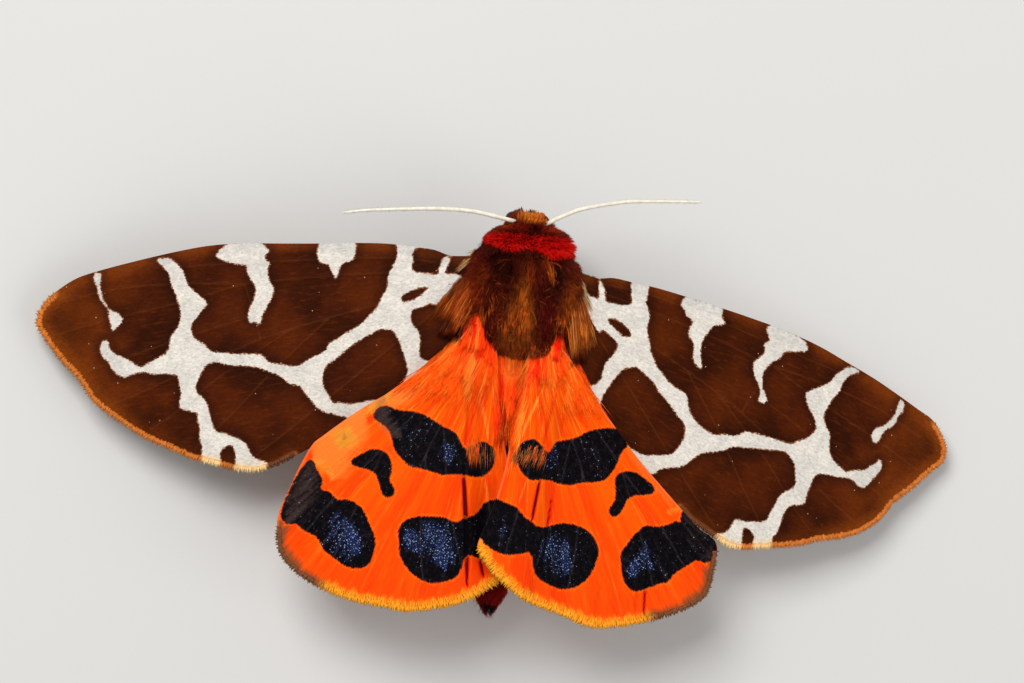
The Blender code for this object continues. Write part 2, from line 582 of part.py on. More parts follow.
def build_thorax():
    thorax = make_object("thorax", *loft(body_rings(THORAX_STATIONS, 24, 0.7)), "thorax")
    locks = coat(THORAX_STATIONS, THORAX_LOCKS + UNDER_LOCKS)
    for side, tip in ((-1, TEGULA_TIP_LEFT), (1, TEGULA_TIP_RIGHT)):
        for k in range(TEGULA_COUNT):
            y, y_step, angle, angle_step = TEGULA_ROOT
            root, out = surface(THORAX_STATIONS, y + k * y_step, side * (angle + k * angle_step))
            end = Vector(tip) + Vector((side * TEGULA_SPREAD[0] * k, TEGULA_SPREAD[1] * k, 0.04 * k))
            out = (out + Vector((0, 0, 1.2))).normalized()
            lie = end - root
            out = (out - lie * out.dot(lie) / lie.length_squared).normalized()
            locks.append(make_object("lock", *lock(root, lie.normalized(), out, lie.length, 1.2)))
    apply_boolean(thorax, locks, "UNION")
    cutters = wing_cutters()
    for name in LEGS:
        for side in (-1, 1):
            points, radii = leg_rod(name, side)
            for first, last in SOCKET_SPANS:
                span = slice(first, last)
                cutters.append(make_object("cutter", *tube(points[span], radii[span], 12, GAP + 0.03)))
    apply_boolean(thorax, cutters, "DIFFERENCE")


def build_collar():
    collar = make_object("collar", *loft(body_rings(COLLAR_STATIONS, 24, 0.35)), "collar")
    apply_boolean(collar, coat(COLLAR_STATIONS, COLLAR_LOCKS, spread=0.4), "UNION")


def build_head():
    head = make_object("head", *loft(body_rings(HEAD_STATIONS, 20, 0.3)), "head")
    extras = []
    for x, y, length in BROW_LOCKS:
        angle = math.degrees(math.asin(x / HEAD_STATIONS[1][2]))
        root, out = surface(HEAD_STATIONS, y, angle)
        lie = (Vector((0.25 * x, 1.0, 0.35)) - out * 0.35).normalized()
        out = (out - lie * out.dot(lie)).normalized()
        extras.append(make_object("lock", *lock(root, lie, out, length, 0.55, 0.4, 0.6)))
    for side in (-1, 1):
        points = [(BODY_X + side * p[0], p[1], p[2]) for p in PALP]
        extras.append(make_object("palp", *tube(points, PALP_RADII, 8)))
    apply_boolean(head, extras, "UNION")
    cutters = []
    for side in (-1, 1):
        centre = (BODY_X + side * EYE_PLACE[0], EYE_PLACE[1], EYE_PLACE[2])
        cutters.append(make_object("cutter", *ball(centre, EYE_RADIUS + GAP, 10, 16)))
        eye_name = "eye_left" if side < 0 else "eye_right"
        make_object(eye_name, *ball(centre, EYE_RADIUS, 9, 12), "eye")
    for points in (ANTENNA_LEFT, ANTENNA_RIGHT):
        cutters.append(make_object("cutter", *tube(points[:3], ANTENNA_RADII[:3], 10, GAP)))
    apply_boolean(head, cutters, "DIFFERENCE")


def build_antennae():
    for name, points in (("antenna_left", ANTENNA_LEFT), ("antenna_right", ANTENNA_RIGHT)):
        chain = smooth_chain(points, 1.2)
        radii = []
        for k in range(len(chain)):
            t = k / (len(chain) - 1) * (len(ANTENNA_RADII) - 1)
            i = min(int(t), len(ANTENNA_RADII) - 2)
            radii.append(ANTENNA_RADII[i] + (ANTENNA_RADII[i + 1] - ANTENNA_RADII[i]) * (t - i))
        make_object(name, *tube(chain, radii, 8), "antenna")


def build_abdomen():
    rings = body_rings(ABDOMEN_STATIONS, 22, 0.7, ABDOMEN_LEAN, ABDOMEN_RINGS, 0.05)
    abdomen = make_object("abdomen", *loft(rings), "abdomen")
    tail = coat(ABDOMEN_STATIONS, TAIL_LOCKS, spread=0.0)
    for piece in tail:
        for vert in piece.data.vertices:
            vert.co.x += ABDOMEN_LEAN * MM
    apply_boolean(abdomen, tail, "UNION")


def build_legs():
    for name in LEGS:
        for side in (-1, 1):
            label = "left" if side < 0 else "right"
            verts, faces = tube(*leg_rod(name, side), LEG_SIDES, turn=0.5)
            make_object(f"{name}leg_{label}", verts, faces, "leg")


clear_scene()
build_wings()
build_thorax()
build_collar()
build_head()
build_antennae()
build_abdomen()
build_legs()
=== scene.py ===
"""A garden tiger moth as a still model: the looks of every surface.

Lengths are millimetres in the moth's own space and become metres when a mesh is made:
+Y points to the head, +X to the moth's right, the floor is z = 0.
"""

import math

import bmesh
import bpy
import numpy as np
from mathutils import Matrix, Vector
from mathutils.bvhtree import BVHTree
from mathutils.geometry import delaunay_2d_cdt


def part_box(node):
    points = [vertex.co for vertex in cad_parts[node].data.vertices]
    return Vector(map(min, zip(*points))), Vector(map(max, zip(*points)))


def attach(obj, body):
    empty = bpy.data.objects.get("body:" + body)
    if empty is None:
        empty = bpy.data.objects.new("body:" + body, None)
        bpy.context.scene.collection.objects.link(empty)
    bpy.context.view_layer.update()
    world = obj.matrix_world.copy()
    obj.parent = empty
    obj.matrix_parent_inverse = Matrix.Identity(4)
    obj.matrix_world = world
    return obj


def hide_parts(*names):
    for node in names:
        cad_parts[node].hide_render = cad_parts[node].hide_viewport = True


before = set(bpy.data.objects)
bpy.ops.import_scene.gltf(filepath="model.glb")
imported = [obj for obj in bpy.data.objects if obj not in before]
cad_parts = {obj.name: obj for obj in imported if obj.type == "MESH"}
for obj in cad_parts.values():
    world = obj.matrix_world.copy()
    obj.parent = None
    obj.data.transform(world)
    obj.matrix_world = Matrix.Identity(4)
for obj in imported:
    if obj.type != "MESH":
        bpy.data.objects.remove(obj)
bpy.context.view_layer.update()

MM = 0.001
PLACE = np.array((0.09, 7.75, 0.0))     # brings the middle of the whole over the origin
rng = np.random.default_rng(7)

# The photo's camera: a long lens, a little to the moth's left, rolled with the body's lean
PHOTO_WIDTH, PHOTO_HEIGHT = 1024, 683
LENS, SENSOR, DISTANCE = 150.0, 36.0, 298.67
TILT, ROLL = 7.0, 6.5
AIM, AIM_PIXEL = (0.0, 0.0, 8.0), (521, 290)

# Soft lights: place and size in metres, and power; then the strength of the pale surroundings
LIGHTS = {"key": ((-0.16, 0.2, 0.36), 0.22, 1.5), "fill": ((0.3, -0.1, 0.25), 0.3, 0.5)}
SKY = 0.35

# Wings: hinge position, backward sweep and droop in degrees, side
FORE_LEFT = ((-4.3, 0.6, 7.9), 13.0, 10.0, -1)
FORE_RIGHT = ((4.3, 0.6, 7.9), 17.5, 10.0, 1)
HIND_LEFT = ((-3.4, -3.2, 9.0), 48.0, 8.0, -1)
HIND_RIGHT = ((3.0, -3.4, 9.2), 44.0, 8.0, 1)
FORE_CURL = (9.0, -0.0028)
HIND_CURL = (12.0, -0.0035)
FOLD_LEFT = ((5.6, -5.6), (12.0, -13.4), -0.74)
FOLD_RIGHT = ((6.8, -5.6), (13.0, -12.8), 0.62)
FOLD_WIDTH = 1.6
FOLD_START, FOLD_RUN = 1.5, 3.0

# Outlines out to the tips of the fringe, u out along the span, v forward
FORE_LEFT_OUTLINE = (
    (-1.3, 0.9), (0.6, 1.4), (1.6, 1.9), (3.0, 2.3), (5.0, 2.75), (7.2, 3.05), (9.7, 3.3), (12.3, 3.6),
    (15.0, 3.92), (17.3, 4.03), (19.6, 3.9), (22.4, 3.6), (25.2, 3.22), (27.1, 2.83), (28.8, 2.0),
    (29.6, 1.4), (30.1, 0.75), (30.3, 0.1), (30.2, -0.4), (29.6, -1.6), (28.8, -2.9), (27.8, -4.2),
    (26.8, -6.0), (25.1, -7.6), (23.4, -8.95), (22.0, -9.75), (20.2, -10.75), (18.4, -11.45),
    (17.3, -11.85), (16.1, -12.1), (15.1, -12.0), (14.0, -11.7), (12.0, -10.9), (10.0, -10.3),
    (7.5, -9.4), (5.0, -8.2), (2.6, -6.4), (1.2, -4.5), (0.2, -2.4), (-1.0, -1.2))
FORE_RIGHT_OUTLINE = (
    (-1.3, 0.6), (0.7, 1.1), (1.8, 1.6), (3.2, 1.9), (5.2, 2.3), (7.3, 2.6), (10.1, 2.95), (12.6, 3.22),
    (15.0, 3.42), (17.9, 3.48), (20.4, 3.3), (22.9, 3.1), (25.1, 2.8), (27.3, 2.45), (28.2, 2.33),
    (29.0, 2.06), (29.7, 1.6), (30.3, 1.06), (30.6, 0.5), (30.7, -0.1), (30.45, -0.65), (29.9, -1.6),
    (29.3, -2.8), (28.3, -4.4), (27.8, -5.9), (26.8, -7.3), (25.4, -8.4), (24.0, -9.15), (22.8, -10.0),
    (20.7, -11.1), (19.0, -11.9), (17.6, -12.35), (16.1, -12.1), (14.0, -11.7), (12.3, -11.0),
    (10.0, -10.5), (7.5, -9.6), (5.0, -8.2), (2.6, -6.4), (1.2, -4.5), (0.2, -2.4), (-1.0, -1.2))
HIND_LEFT_OUTLINE = (
    (-1.3, 0.2), (1.0, 0.0), (3.2, 0.0), (5.0, 0.25), (7.2, 0.5), (8.5, 0.75), (10.0, 1.0), (12.5, 1.25),
    (13.5, 1.28), (15.0, 0.8), (16.5, 0.15), (18.0, -0.5), (19.0, -1.2), (20.0, -2.3), (20.35, -3.3),
    (20.35, -4.3), (20.1, -5.5), (19.5, -7.2), (18.7, -8.7), (17.5, -10.3), (16.2, -11.9), (14.5, -13.1),
    (13.0, -13.9), (11.5, -14.35), (10.2, -14.6), (9.0, -14.6), (7.8, -14.2), (7.1, -13.4), (6.0, -11.6),
    (4.6, -9.5), (3.4, -7.5), (1.9, -5.4), (0.5, -3.6), (-0.6, -2.2), (-1.6, -1.1))
HIND_RIGHT_OUTLINE = (
    (-1.3, -0.2), (1.0, -0.1), (2.6, -0.25), (4.0, -0.5), (6.5, -0.6), (10.0, -0.75), (14.0, -0.6),
    (16.5, -0.45), (17.6, -0.15), (18.4, -0.15), (19.2, -0.8), (20.1, -1.9), (20.7, -2.9), (20.7, -3.9),
    (20.35, -5.2), (19.8, -6.5), (19.2, -7.7), (18.3, -9.2), (16.9, -10.9), (15.2, -11.8), (13.4, -12.8),
    (11.8, -13.55), (10.1, -13.9), (8.6, -14.0), (7.2, -13.75), (6.6, -13.0), (6.0, -11.8), (5.3, -10.5),
    (4.3, -9.0), (3.0, -7.3), (1.3, -5.0), (0.2, -3.6), (-0.7, -2.4), (-1.7, -1.2))

FORE_VEINS = (
    ((1.0, 0.9), (5.0, 1.75), (10.0, 2.2), (15.0, 2.55), (19.0, 2.75), (21.5, 2.95)),
    ((0.4, 0.2), (5.0, 0.7), (10.0, 1.0), (15.2, 1.1), (20.0, 1.65), (24.5, 1.75), (28.2, 1.3)),
    ((15.2, 1.1), (20.0, 0.3), (25.0, -0.3), (28.9, -0.9)),
    ((15.2, 1.1), (14.8, -0.8), (14.5, -2.9)),
    ((14.75, -1.2), (20.0, -2.2), (24.5, -3.2), (27.3, -3.8)),
    ((0.4, -0.6), (5.0, -1.3), (9.5, -1.95), (14.5, -2.9), (19.5, -4.4), (23.5, -5.7), (25.9, -6.3)),
    ((12.4, -2.5), (17.5, -5.1), (21.0, -7.3), (23.0, -8.3)),
    ((9.5, -1.95), (13.5, -4.9), (17.0, -7.8), (20.0, -10.0)),
    ((0.6, -1.4), (5.0, -4.2), (10.0, -7.4), (14.0, -9.9), (16.2, -11.2)))
FORE_RIGHT_TURN = -0.022
HIND_VEINS = (
    ((0.6, -1.0), (5.0, -1.6), (9.5, -2.1), (14.0, -2.4), (18.9, -3.1)),
    ((9.5, -2.1), (14.5, -4.2), (18.7, -6.1)),
    ((9.5, -2.1), (9.6, -3.5), (9.0, -4.9)),
    ((0.6, -1.6), (5.0, -3.3), (9.0, -4.9), (13.0, -7.0), (17.0, -9.4)),
    ((8.0, -4.5), (11.8, -8.2), (14.3, -11.3)),
    ((5.6, -3.55), (9.2, -8.3), (11.6, -12.6)),
    ((0.6, -2.4), (4.5, -6.6), (7.2, -10.2), (9.0, -13.0)))
HIND_LEFT_COSTAL = ((0.6, -0.4), (6.0, -0.4), (12.0, 0.1), (16.4, -0.7))

# Cream net of the forewings: its closed outline, then the brown islands in it
NET_LEFT = (
    (3.0, 2.6), (4.2, 2.9), (4.22, 2.22), (4.33, 1.61), (4.67, 1.1), (4.89, 0.78), (5.09, 0.33),
    (5.22, -0.33), (5.56, -0.78), (5.89, -1.33), (6.22, -1.78), (6.67, -2.1), (7.1, -2.5), (7.78, -2.89),
    (8.44, -3.17), (9.1, -3.5), (9.78, -3.83), (10.0, -4.22), (10.67, -4.5), (11.33, -4.72),
    (12.0, -5.06), (12.67, -5.0), (13.33, -4.83), (14.1, -4.6), (14.5, -4.1), (15.1, -3.9),
    (16.2, -3.78), (17.1, -3.6), (17.9, -3.44), (18.2, -3.28), (18.56, -2.78), (19.0, -2.5),
    (19.28, -2.06), (19.33, -1.5), (19.2, -1.2), (18.8, -0.83), (18.3, -0.28), (18.0, 0.0), (18.3, 0.44),
    (18.8, 0.94), (19.2, 1.5), (19.4, 2.28), (19.67, 2.83), (20.06, 3.28), (20.4, 3.5), (21.17, 3.45),
    (20.67, 2.83), (20.4, 2.28), (20.3, 1.5), (20.1, 0.94), (19.94, 0.17), (19.9, -0.5), (20.06, -1.17),
    (20.4, -1.6), (20.8, -2.06), (21.0, -2.7), (21.3, -3.17), (22.0, -3.44), (22.67, -3.72),
    (23.1, -3.89), (23.4, -3.83), (23.9, -3.39), (24.4, -3.06), (25.0, -2.7), (25.3, -2.28),
    (25.28, -1.89), (25.5, -1.7), (25.8, -1.94), (25.9, -2.39), (25.8, -2.83), (25.4, -3.28),
    (25.2, -3.78), (24.9, -4.17), (24.4, -4.44), (23.8, -4.28), (23.1, -4.22), (22.3, -4.44),
    (21.56, -4.5), (20.8, -4.67), (20.56, -4.94), (20.56, -5.5), (20.5, -6.06), (20.67, -6.6),
    (20.67, -7.06), (20.0, -7.33), (19.5, -7.56), (19.56, -8.06), (19.44, -8.6), (19.56, -9.28),
    (19.44, -9.94), (19.7, -11.0), (19.6, -11.8), (18.0, -12.8), (16.0, -12.8), (14.9, -12.0),
    (15.1, -11.56), (15.67, -11.28), (16.06, -10.94), (16.3, -10.28), (16.56, -9.9), (17.1, -9.56),
    (17.8, -9.2), (18.4, -8.94), (18.6, -8.39), (18.7, -7.7), (18.8, -7.06), (19.0, -6.6), (19.3, -6.28),
    (19.5, -5.83), (19.3, -5.28), (19.0, -4.83), (18.7, -4.39), (18.3, -4.17), (17.8, -4.1),
    (17.0, -4.39), (16.0, -4.56), (15.0, -4.78), (14.67, -4.94), (14.0, -5.28), (13.3, -5.67),
    (12.8, -6.2), (12.2, -6.39), (11.89, -6.78), (11.67, -7.2), (11.33, -7.67), (11.06, -8.1),
    (10.6, -8.44), (10.1, -8.6), (9.39, -8.89), (8.0, -9.2), (6.0, -8.9), (4.0, -8.0), (2.0, -6.2),
    (0.0, -3.0), (-1.0, -1.2), (-1.8, 0.0), (-1.0, 1.3), (0.6, 1.7), (1.6, 2.2))
LEFT_ISLANDS = (
    ((0.56, 1.39), (1.56, 1.94), (2.44, 2.17), (2.94, 2.22), (3.28, 1.78), (3.22, 1.33), (3.42, 1.0),
     (3.28, 0.56), (2.67, 0.39), (1.67, 0.17), (1.39, 0.56), (1.0, 1.1)),
    ((-1.0, 2.0), (0.56, 1.39), (0.66, 1.25), (0.8, 0.9), (0.98, 0.56), (1.15, 0.15), (0.86, 0.1),
     (0.39, 0.07), (-0.06, -0.22), (-1.0, -0.4)),
    ((0.94, -0.62), (0.6, -0.52), (0.2, -0.5), (-0.5, -0.5), (-0.5, -0.72), (0.28, -0.7), (0.61, -0.68)),
    ((2.33, -0.61), (3.22, -0.61), (4.1, -0.89), (4.4, -1.17), (4.17, -1.5), (3.67, -1.44),
     (2.89, -1.11)),
    ((1.0, -1.44), (1.56, -1.56), (2.0, -1.89), (2.33, -1.72), (2.89, -1.89), (3.56, -2.0),
     (3.83, -2.33), (3.89, -2.78), (3.72, -3.22), (3.44, -3.67), (3.39, -4.22), (3.5, -4.78),
     (3.56, -5.33), (3.33, -5.61), (2.89, -5.78), (2.44, -5.56), (2.0, -5.1), (1.0, -4.0), (0.0, -3.0)),
    ((5.22, -3.33), (5.67, -3.17), (6.22, -3.17), (6.78, -3.39), (7.44, -3.67), (8.22, -4.06),
     (9.0, -4.56), (9.67, -5.0), (10.1, -5.22), (10.39, -5.67), (10.53, -6.22), (10.44, -6.89),
     (10.17, -7.44), (10.0, -7.87), (9.33, -8.0), (8.67, -8.17), (7.89, -8.11), (7.0, -8.06),
     (6.0, -8.3), (4.9, -7.6), (4.78, -6.89), (4.5, -6.56), (4.44, -6.0), (4.56, -5.33), (4.67, -4.67),
     (4.89, -3.89)),
    ((17.17, -10.5), (17.3, -10.1), (17.67, -10.0), (18.0, -10.17), (18.28, -10.5), (18.3, -10.9),
     (18.1, -11.5), (17.35, -11.5), (17.17, -10.9)))
# Cream marks of their own: the branched one, the triangle and the thin one near the tip
LEFT_MARKS = (
    ((13.28, 3.22), (13.56, 3.67), (14.0, 3.85), (15.0, 3.97), (16.0, 3.97), (16.4, 3.78), (16.8, 3.5),
     (16.9, 3.17), (16.4, 2.89), (15.67, 2.56), (14.9, 2.39), (14.9, 1.94), (14.7, 1.39), (14.44, 0.83),
     (14.44, 0.39), (14.7, -0.17), (15.0, -0.72), (15.2, -1.28), (15.06, -1.67), (14.7, -1.6),
     (14.5, -1.83), (14.3, -1.56), (14.28, -1.33), (14.06, -1.0), (13.67, -0.44), (13.33, 0.1),
     (13.2, 0.56), (13.44, 1.0), (13.5, 1.56), (13.5, 1.89), (13.28, 2.33), (13.56, 2.56), (13.6, 2.83),
     (13.2, 3.17)),
    ((7.17, 3.2), (7.22, 2.33), (7.5, 1.89), (8.22, 1.72), (8.44, 1.39), (8.56, 1.06), (8.78, 0.78),
     (8.94, 1.22), (9.17, 1.78), (9.72, 2.0), (9.83, 2.56), (9.67, 3.2), (9.44, 3.4), (8.2, 3.3)),
    ((25.3, 3.0), (25.67, 3.03), (25.8, 2.6), (25.6, 2.06), (25.56, 1.39), (25.28, 0.83), (25.0, 0.39),
     (25.02, -0.06), (24.94, -0.6), (24.9, -1.1), (24.5, -0.83), (24.17, -0.56), (24.1, -0.33),
     (24.45, 0.1), (24.86, 0.26), (25.08, 0.62), (25.3, 1.06), (25.4, 1.6), (25.42, 2.28), (25.3, 2.7)),
    ((0.66, 1.25), (0.95, 1.32), (1.2, 1.05), (1.43, 0.62), (1.55, 0.2), (1.2, 0.15), (0.98, 0.56),
     (0.8, 0.9)))
NET_RIGHT = (
    (3.2, 2.2), (4.3, 2.45), (4.44, 1.94), (4.6, 1.44), (4.67, 1.0), (5.06, 0.56), (5.39, 0.06),
    (5.44, -0.44), (5.67, -0.94), (6.1, -1.5), (6.39, -2.0), (6.89, -2.44), (7.28, -2.83), (7.89, -3.1),
    (8.44, -3.39), (9.1, -3.6), (9.67, -3.67), (10.2, -3.83), (10.56, -4.33), (10.9, -4.78),
    (11.56, -5.17), (12.3, -5.39), (13.2, -5.5), (13.9, -5.2), (14.56, -5.0), (15.0, -4.78),
    (15.3, -4.39), (16.0, -4.2), (16.8, -4.06), (17.9, -3.9), (18.9, -3.8), (19.3, -3.4), (19.9, -2.9),
    (20.2, -2.4), (20.28, -1.94), (20.06, -1.56), (19.56, -1.1), (19.0, -0.7), (18.56, -0.17),
    (18.5, 0.0), (18.8, 0.39), (19.4, 0.94), (19.9, 1.5), (20.06, 2.06), (20.4, 2.6), (20.9, 3.1),
    (21.67, 3.1), (21.3, 2.78), (21.0, 2.5), (20.8, 1.94), (20.76, 1.17), (20.5, 0.39), (20.4, -0.28),
    (20.4, -0.94), (20.9, -1.56), (21.4, -1.94), (21.67, -2.6), (22.0, -3.2), (22.56, -3.56),
    (23.2, -3.78), (23.8, -3.89), (24.1, -3.67), (24.67, -3.39), (25.1, -3.17), (25.4, -2.7),
    (25.7, -2.4), (25.78, -2.06), (26.0, -2.1), (26.2, -2.6), (26.0, -3.28), (25.8, -3.83),
    (25.56, -4.3), (25.1, -4.39), (24.56, -4.2), (23.9, -4.2), (23.3, -4.44), (22.56, -4.56),
    (21.8, -4.83), (21.56, -5.17), (21.56, -5.83), (21.56, -6.6), (21.7, -7.17), (21.2, -7.5),
    (20.8, -7.7), (20.56, -8.06), (20.5, -8.6), (20.56, -9.28), (20.56, -9.94), (20.4, -10.5),
    (20.67, -10.9), (20.5, -12.0), (19.0, -13.0), (17.0, -13.0), (15.8, -12.6), (16.1, -11.94),
    (16.8, -11.6), (17.06, -11.28), (17.2, -10.7), (17.3, -10.3), (18.0, -10.2), (18.56, -9.94),
    (19.1, -9.78), (19.5, -9.4), (19.56, -8.8), (19.67, -8.06), (19.7, -7.5), (20.0, -7.0), (20.4, -6.6),
    (20.5, -6.17), (20.2, -5.6), (19.9, -5.06), (19.3, -4.6), (18.8, -4.39), (18.1, -4.56),
    (17.3, -4.83), (16.56, -5.06), (15.67, -5.39), (15.0, -5.6), (14.3, -6.2), (13.67, -6.6),
    (13.0, -6.94), (12.56, -7.44), (12.2, -8.1), (11.8, -8.56), (11.1, -8.89), (10.44, -9.33),
    (10.3, -9.67), (9.6, -10.0), (8.0, -9.6), (6.0, -8.9), (4.0, -8.0), (2.0, -6.2), (0.0, -3.0),
    (-1.0, -1.2), (-1.8, 0.0), (-1.0, 1.0), (0.7, 1.3), (1.8, 1.9))
RIGHT_ISLANDS = (
    ((1.6, 2.4), (3.3, 2.6), (3.17, 1.83), (3.4, 1.3), (3.76, 0.5), (3.24, 0.14), (2.49, -0.07),
     (1.95, -0.15), (1.68, 0.24), (1.39, 0.69), (1.05, 0.98), (0.85, 1.3)),
    ((2.56, -1.17), (3.1, -0.94), (3.89, -1.06), (4.44, -1.28), (4.67, -1.56), (4.44, -1.83),
     (3.89, -1.83), (3.3, -1.6), (2.78, -1.44)),
    ((0.9, -1.45), (1.74, -1.92), (2.35, -2.28), (2.6, -2.0), (3.4, -2.2), (3.9, -2.4), (4.1, -2.78),
     (4.0, -3.33), (3.78, -4.0), (3.78, -4.67), (3.89, -5.2), (3.67, -5.78), (3.2, -6.06),
     (2.78, -5.94), (2.3, -5.4), (1.9, -5.0), (1.0, -4.0), (0.3, -3.0)),
    ((5.44, -3.67), (5.89, -3.39), (6.56, -3.56), (7.1, -3.72), (7.67, -3.94), (8.2, -4.33),
     (8.78, -4.56), (9.44, -4.89), (10.1, -5.28), (10.8, -5.6), (11.1, -6.0), (11.28, -6.56),
     (11.2, -7.1), (11.1, -7.56), (10.9, -8.0), (10.2, -8.39), (9.56, -8.67), (9.0, -8.89),
     (8.33, -8.9), (7.67, -8.78), (7.2, -8.6), (6.1, -8.6), (5.0, -7.6), (4.56, -6.94), (4.44, -6.33),
     (4.56, -5.67), (4.7, -5.0), (4.89, -4.33), (5.17, -3.83)),
    ((18.06, -10.7), (18.4, -10.5), (18.9, -10.67), (19.2, -11.06), (19.15, -11.6), (18.5, -11.8),
     (18.2, -11.17)),
    ((-1.5, 2.0), (0.6, 2.0), (0.85, 1.3), (0.97, 0.86), (1.1, 0.55), (1.42, -0.2), (1.0, -0.25),
     (0.6, -0.28), (0.2, -0.2), (-0.4, -0.6), (-1.5, -0.6)))
RIGHT_MARKS = (
    ((13.8, 2.95), (13.95, 3.3), (14.4, 3.4), (16.5, 3.42), (17.0, 3.17), (17.28, 2.83), (16.67, 2.5),
     (16.1, 2.28), (15.67, 2.0), (15.56, 1.5), (15.17, 1.06), (14.9, 0.5), (14.8, -0.06), (15.0, -0.6),
     (15.2, -0.94), (15.56, -1.28), (15.9, -1.67), (15.8, -1.9), (15.3, -1.9), (15.28, -1.5),
     (15.06, -1.06), (14.6, -0.65), (14.1, -0.1), (13.9, 0.44), (14.2, 1.0), (14.39, 1.44),
     (14.06, 1.89), (14.3, 2.2), (14.2, 2.56)),
    ((7.2, 1.89), (7.28, 2.56), (8.2, 2.7), (10.1, 2.94), (10.2, 2.44), (10.67, 2.0), (10.0, 1.6),
     (9.8, 1.0), (9.67, 0.44), (9.67, -0.06), (9.9, -0.67), (10.2, -1.2), (10.4, -1.56), (10.0, -1.5),
     (9.56, -1.17), (9.4, -0.67), (9.1, -0.1), (8.67, 0.1), (8.44, 0.67), (8.5, 1.2), (7.78, 1.44),
     (7.67, 1.67)),
    ((25.56, 2.5), (25.9, 2.4), (26.0, 1.83), (25.8, 1.28), (25.8, 0.7), (25.3, 0.06), (25.2, -0.5),
     (25.0, -1.1), (24.56, -0.83), (24.5, -0.5), (24.67, -0.06), (25.1, 0.28), (25.4, 0.83),
     (25.6, 1.5), (25.5, 2.06)))

# Blue-black spots of the hindwings
HIND_LEFT_SPOTS = (
    ((7.75, -0.25), (8.25, 0.1), (9.0, -0.06), (8.9, -0.75), (8.8, -1.4), (9.0, -2.0), (9.4, -2.75),
     (9.44, -3.5), (9.4, -4.25), (8.9, -5.0), (8.5, -5.6), (8.1, -6.25), (7.5, -6.75), (7.0, -7.25),
     (6.5, -7.9), (6.0, -8.25), (5.25, -8.25), (4.75, -7.9), (4.25, -7.25), (4.5, -6.4), (5.25, -6.25),
     (5.75, -6.0), (5.6, -5.25), (5.5, -4.75), (5.75, -4.0), (6.1, -3.0), (6.25, -2.4), (6.75, -1.6),
     (7.25, -1.1), (7.6, -0.6)),
    ((12.2, -1.36), (11.6, -1.46), (11.05, -1.56), (10.5, -1.8), (10.15, -2.22), (10.03, -2.82),
     (10.3, -3.43), (10.67, -3.82), (11.05, -4.03), (11.17, -4.38), (11.25, -4.82), (11.52, -5.05),
     (11.95, -4.97), (12.1, -4.55), (11.92, -4.15), (11.67, -3.64), (11.54, -3.06), (11.73, -2.54),
     (12.1, -2.0), (12.3, -1.62)),
    ((14.2, 0.44), (14.6, 0.6), (15.25, 0.5), (16.5, 0.06), (17.75, -0.5), (18.5, -1.1), (18.4, -1.75),
     (18.0, -2.1), (17.9, -2.75), (17.6, -3.5), (17.56, -4.1), (17.75, -4.75), (17.6, -5.5),
     (17.4, -6.5), (17.0, -7.1), (16.4, -7.5), (15.75, -7.44), (15.1, -7.06), (14.5, -6.4),
     (14.2, -5.5), (13.9, -4.6), (13.9, -3.9), (14.2, -3.25), (14.75, -2.75), (14.8, -2.0),
     (15.1, -1.44), (14.6, -1.0), (14.44, -0.25)),
    ((9.0, -9.6), (9.6, -9.4), (10.0, -8.6), (10.6, -8.0), (11.25, -7.4), (11.9, -7.06), (12.5, -7.0),
     (13.0, -7.25), (13.5, -7.9), (14.0, -8.5), (14.2, -9.25), (14.2, -10.0), (14.0, -10.9),
     (13.5, -11.6), (12.75, -12.0), (12.06, -12.25), (11.5, -12.06), (10.9, -11.7), (10.4, -11.7),
     (10.0, -12.4), (9.6, -12.7), (8.0, -13.0), (6.6, -12.6), (6.2, -10.6), (7.0, -9.8), (8.2, -9.9)))
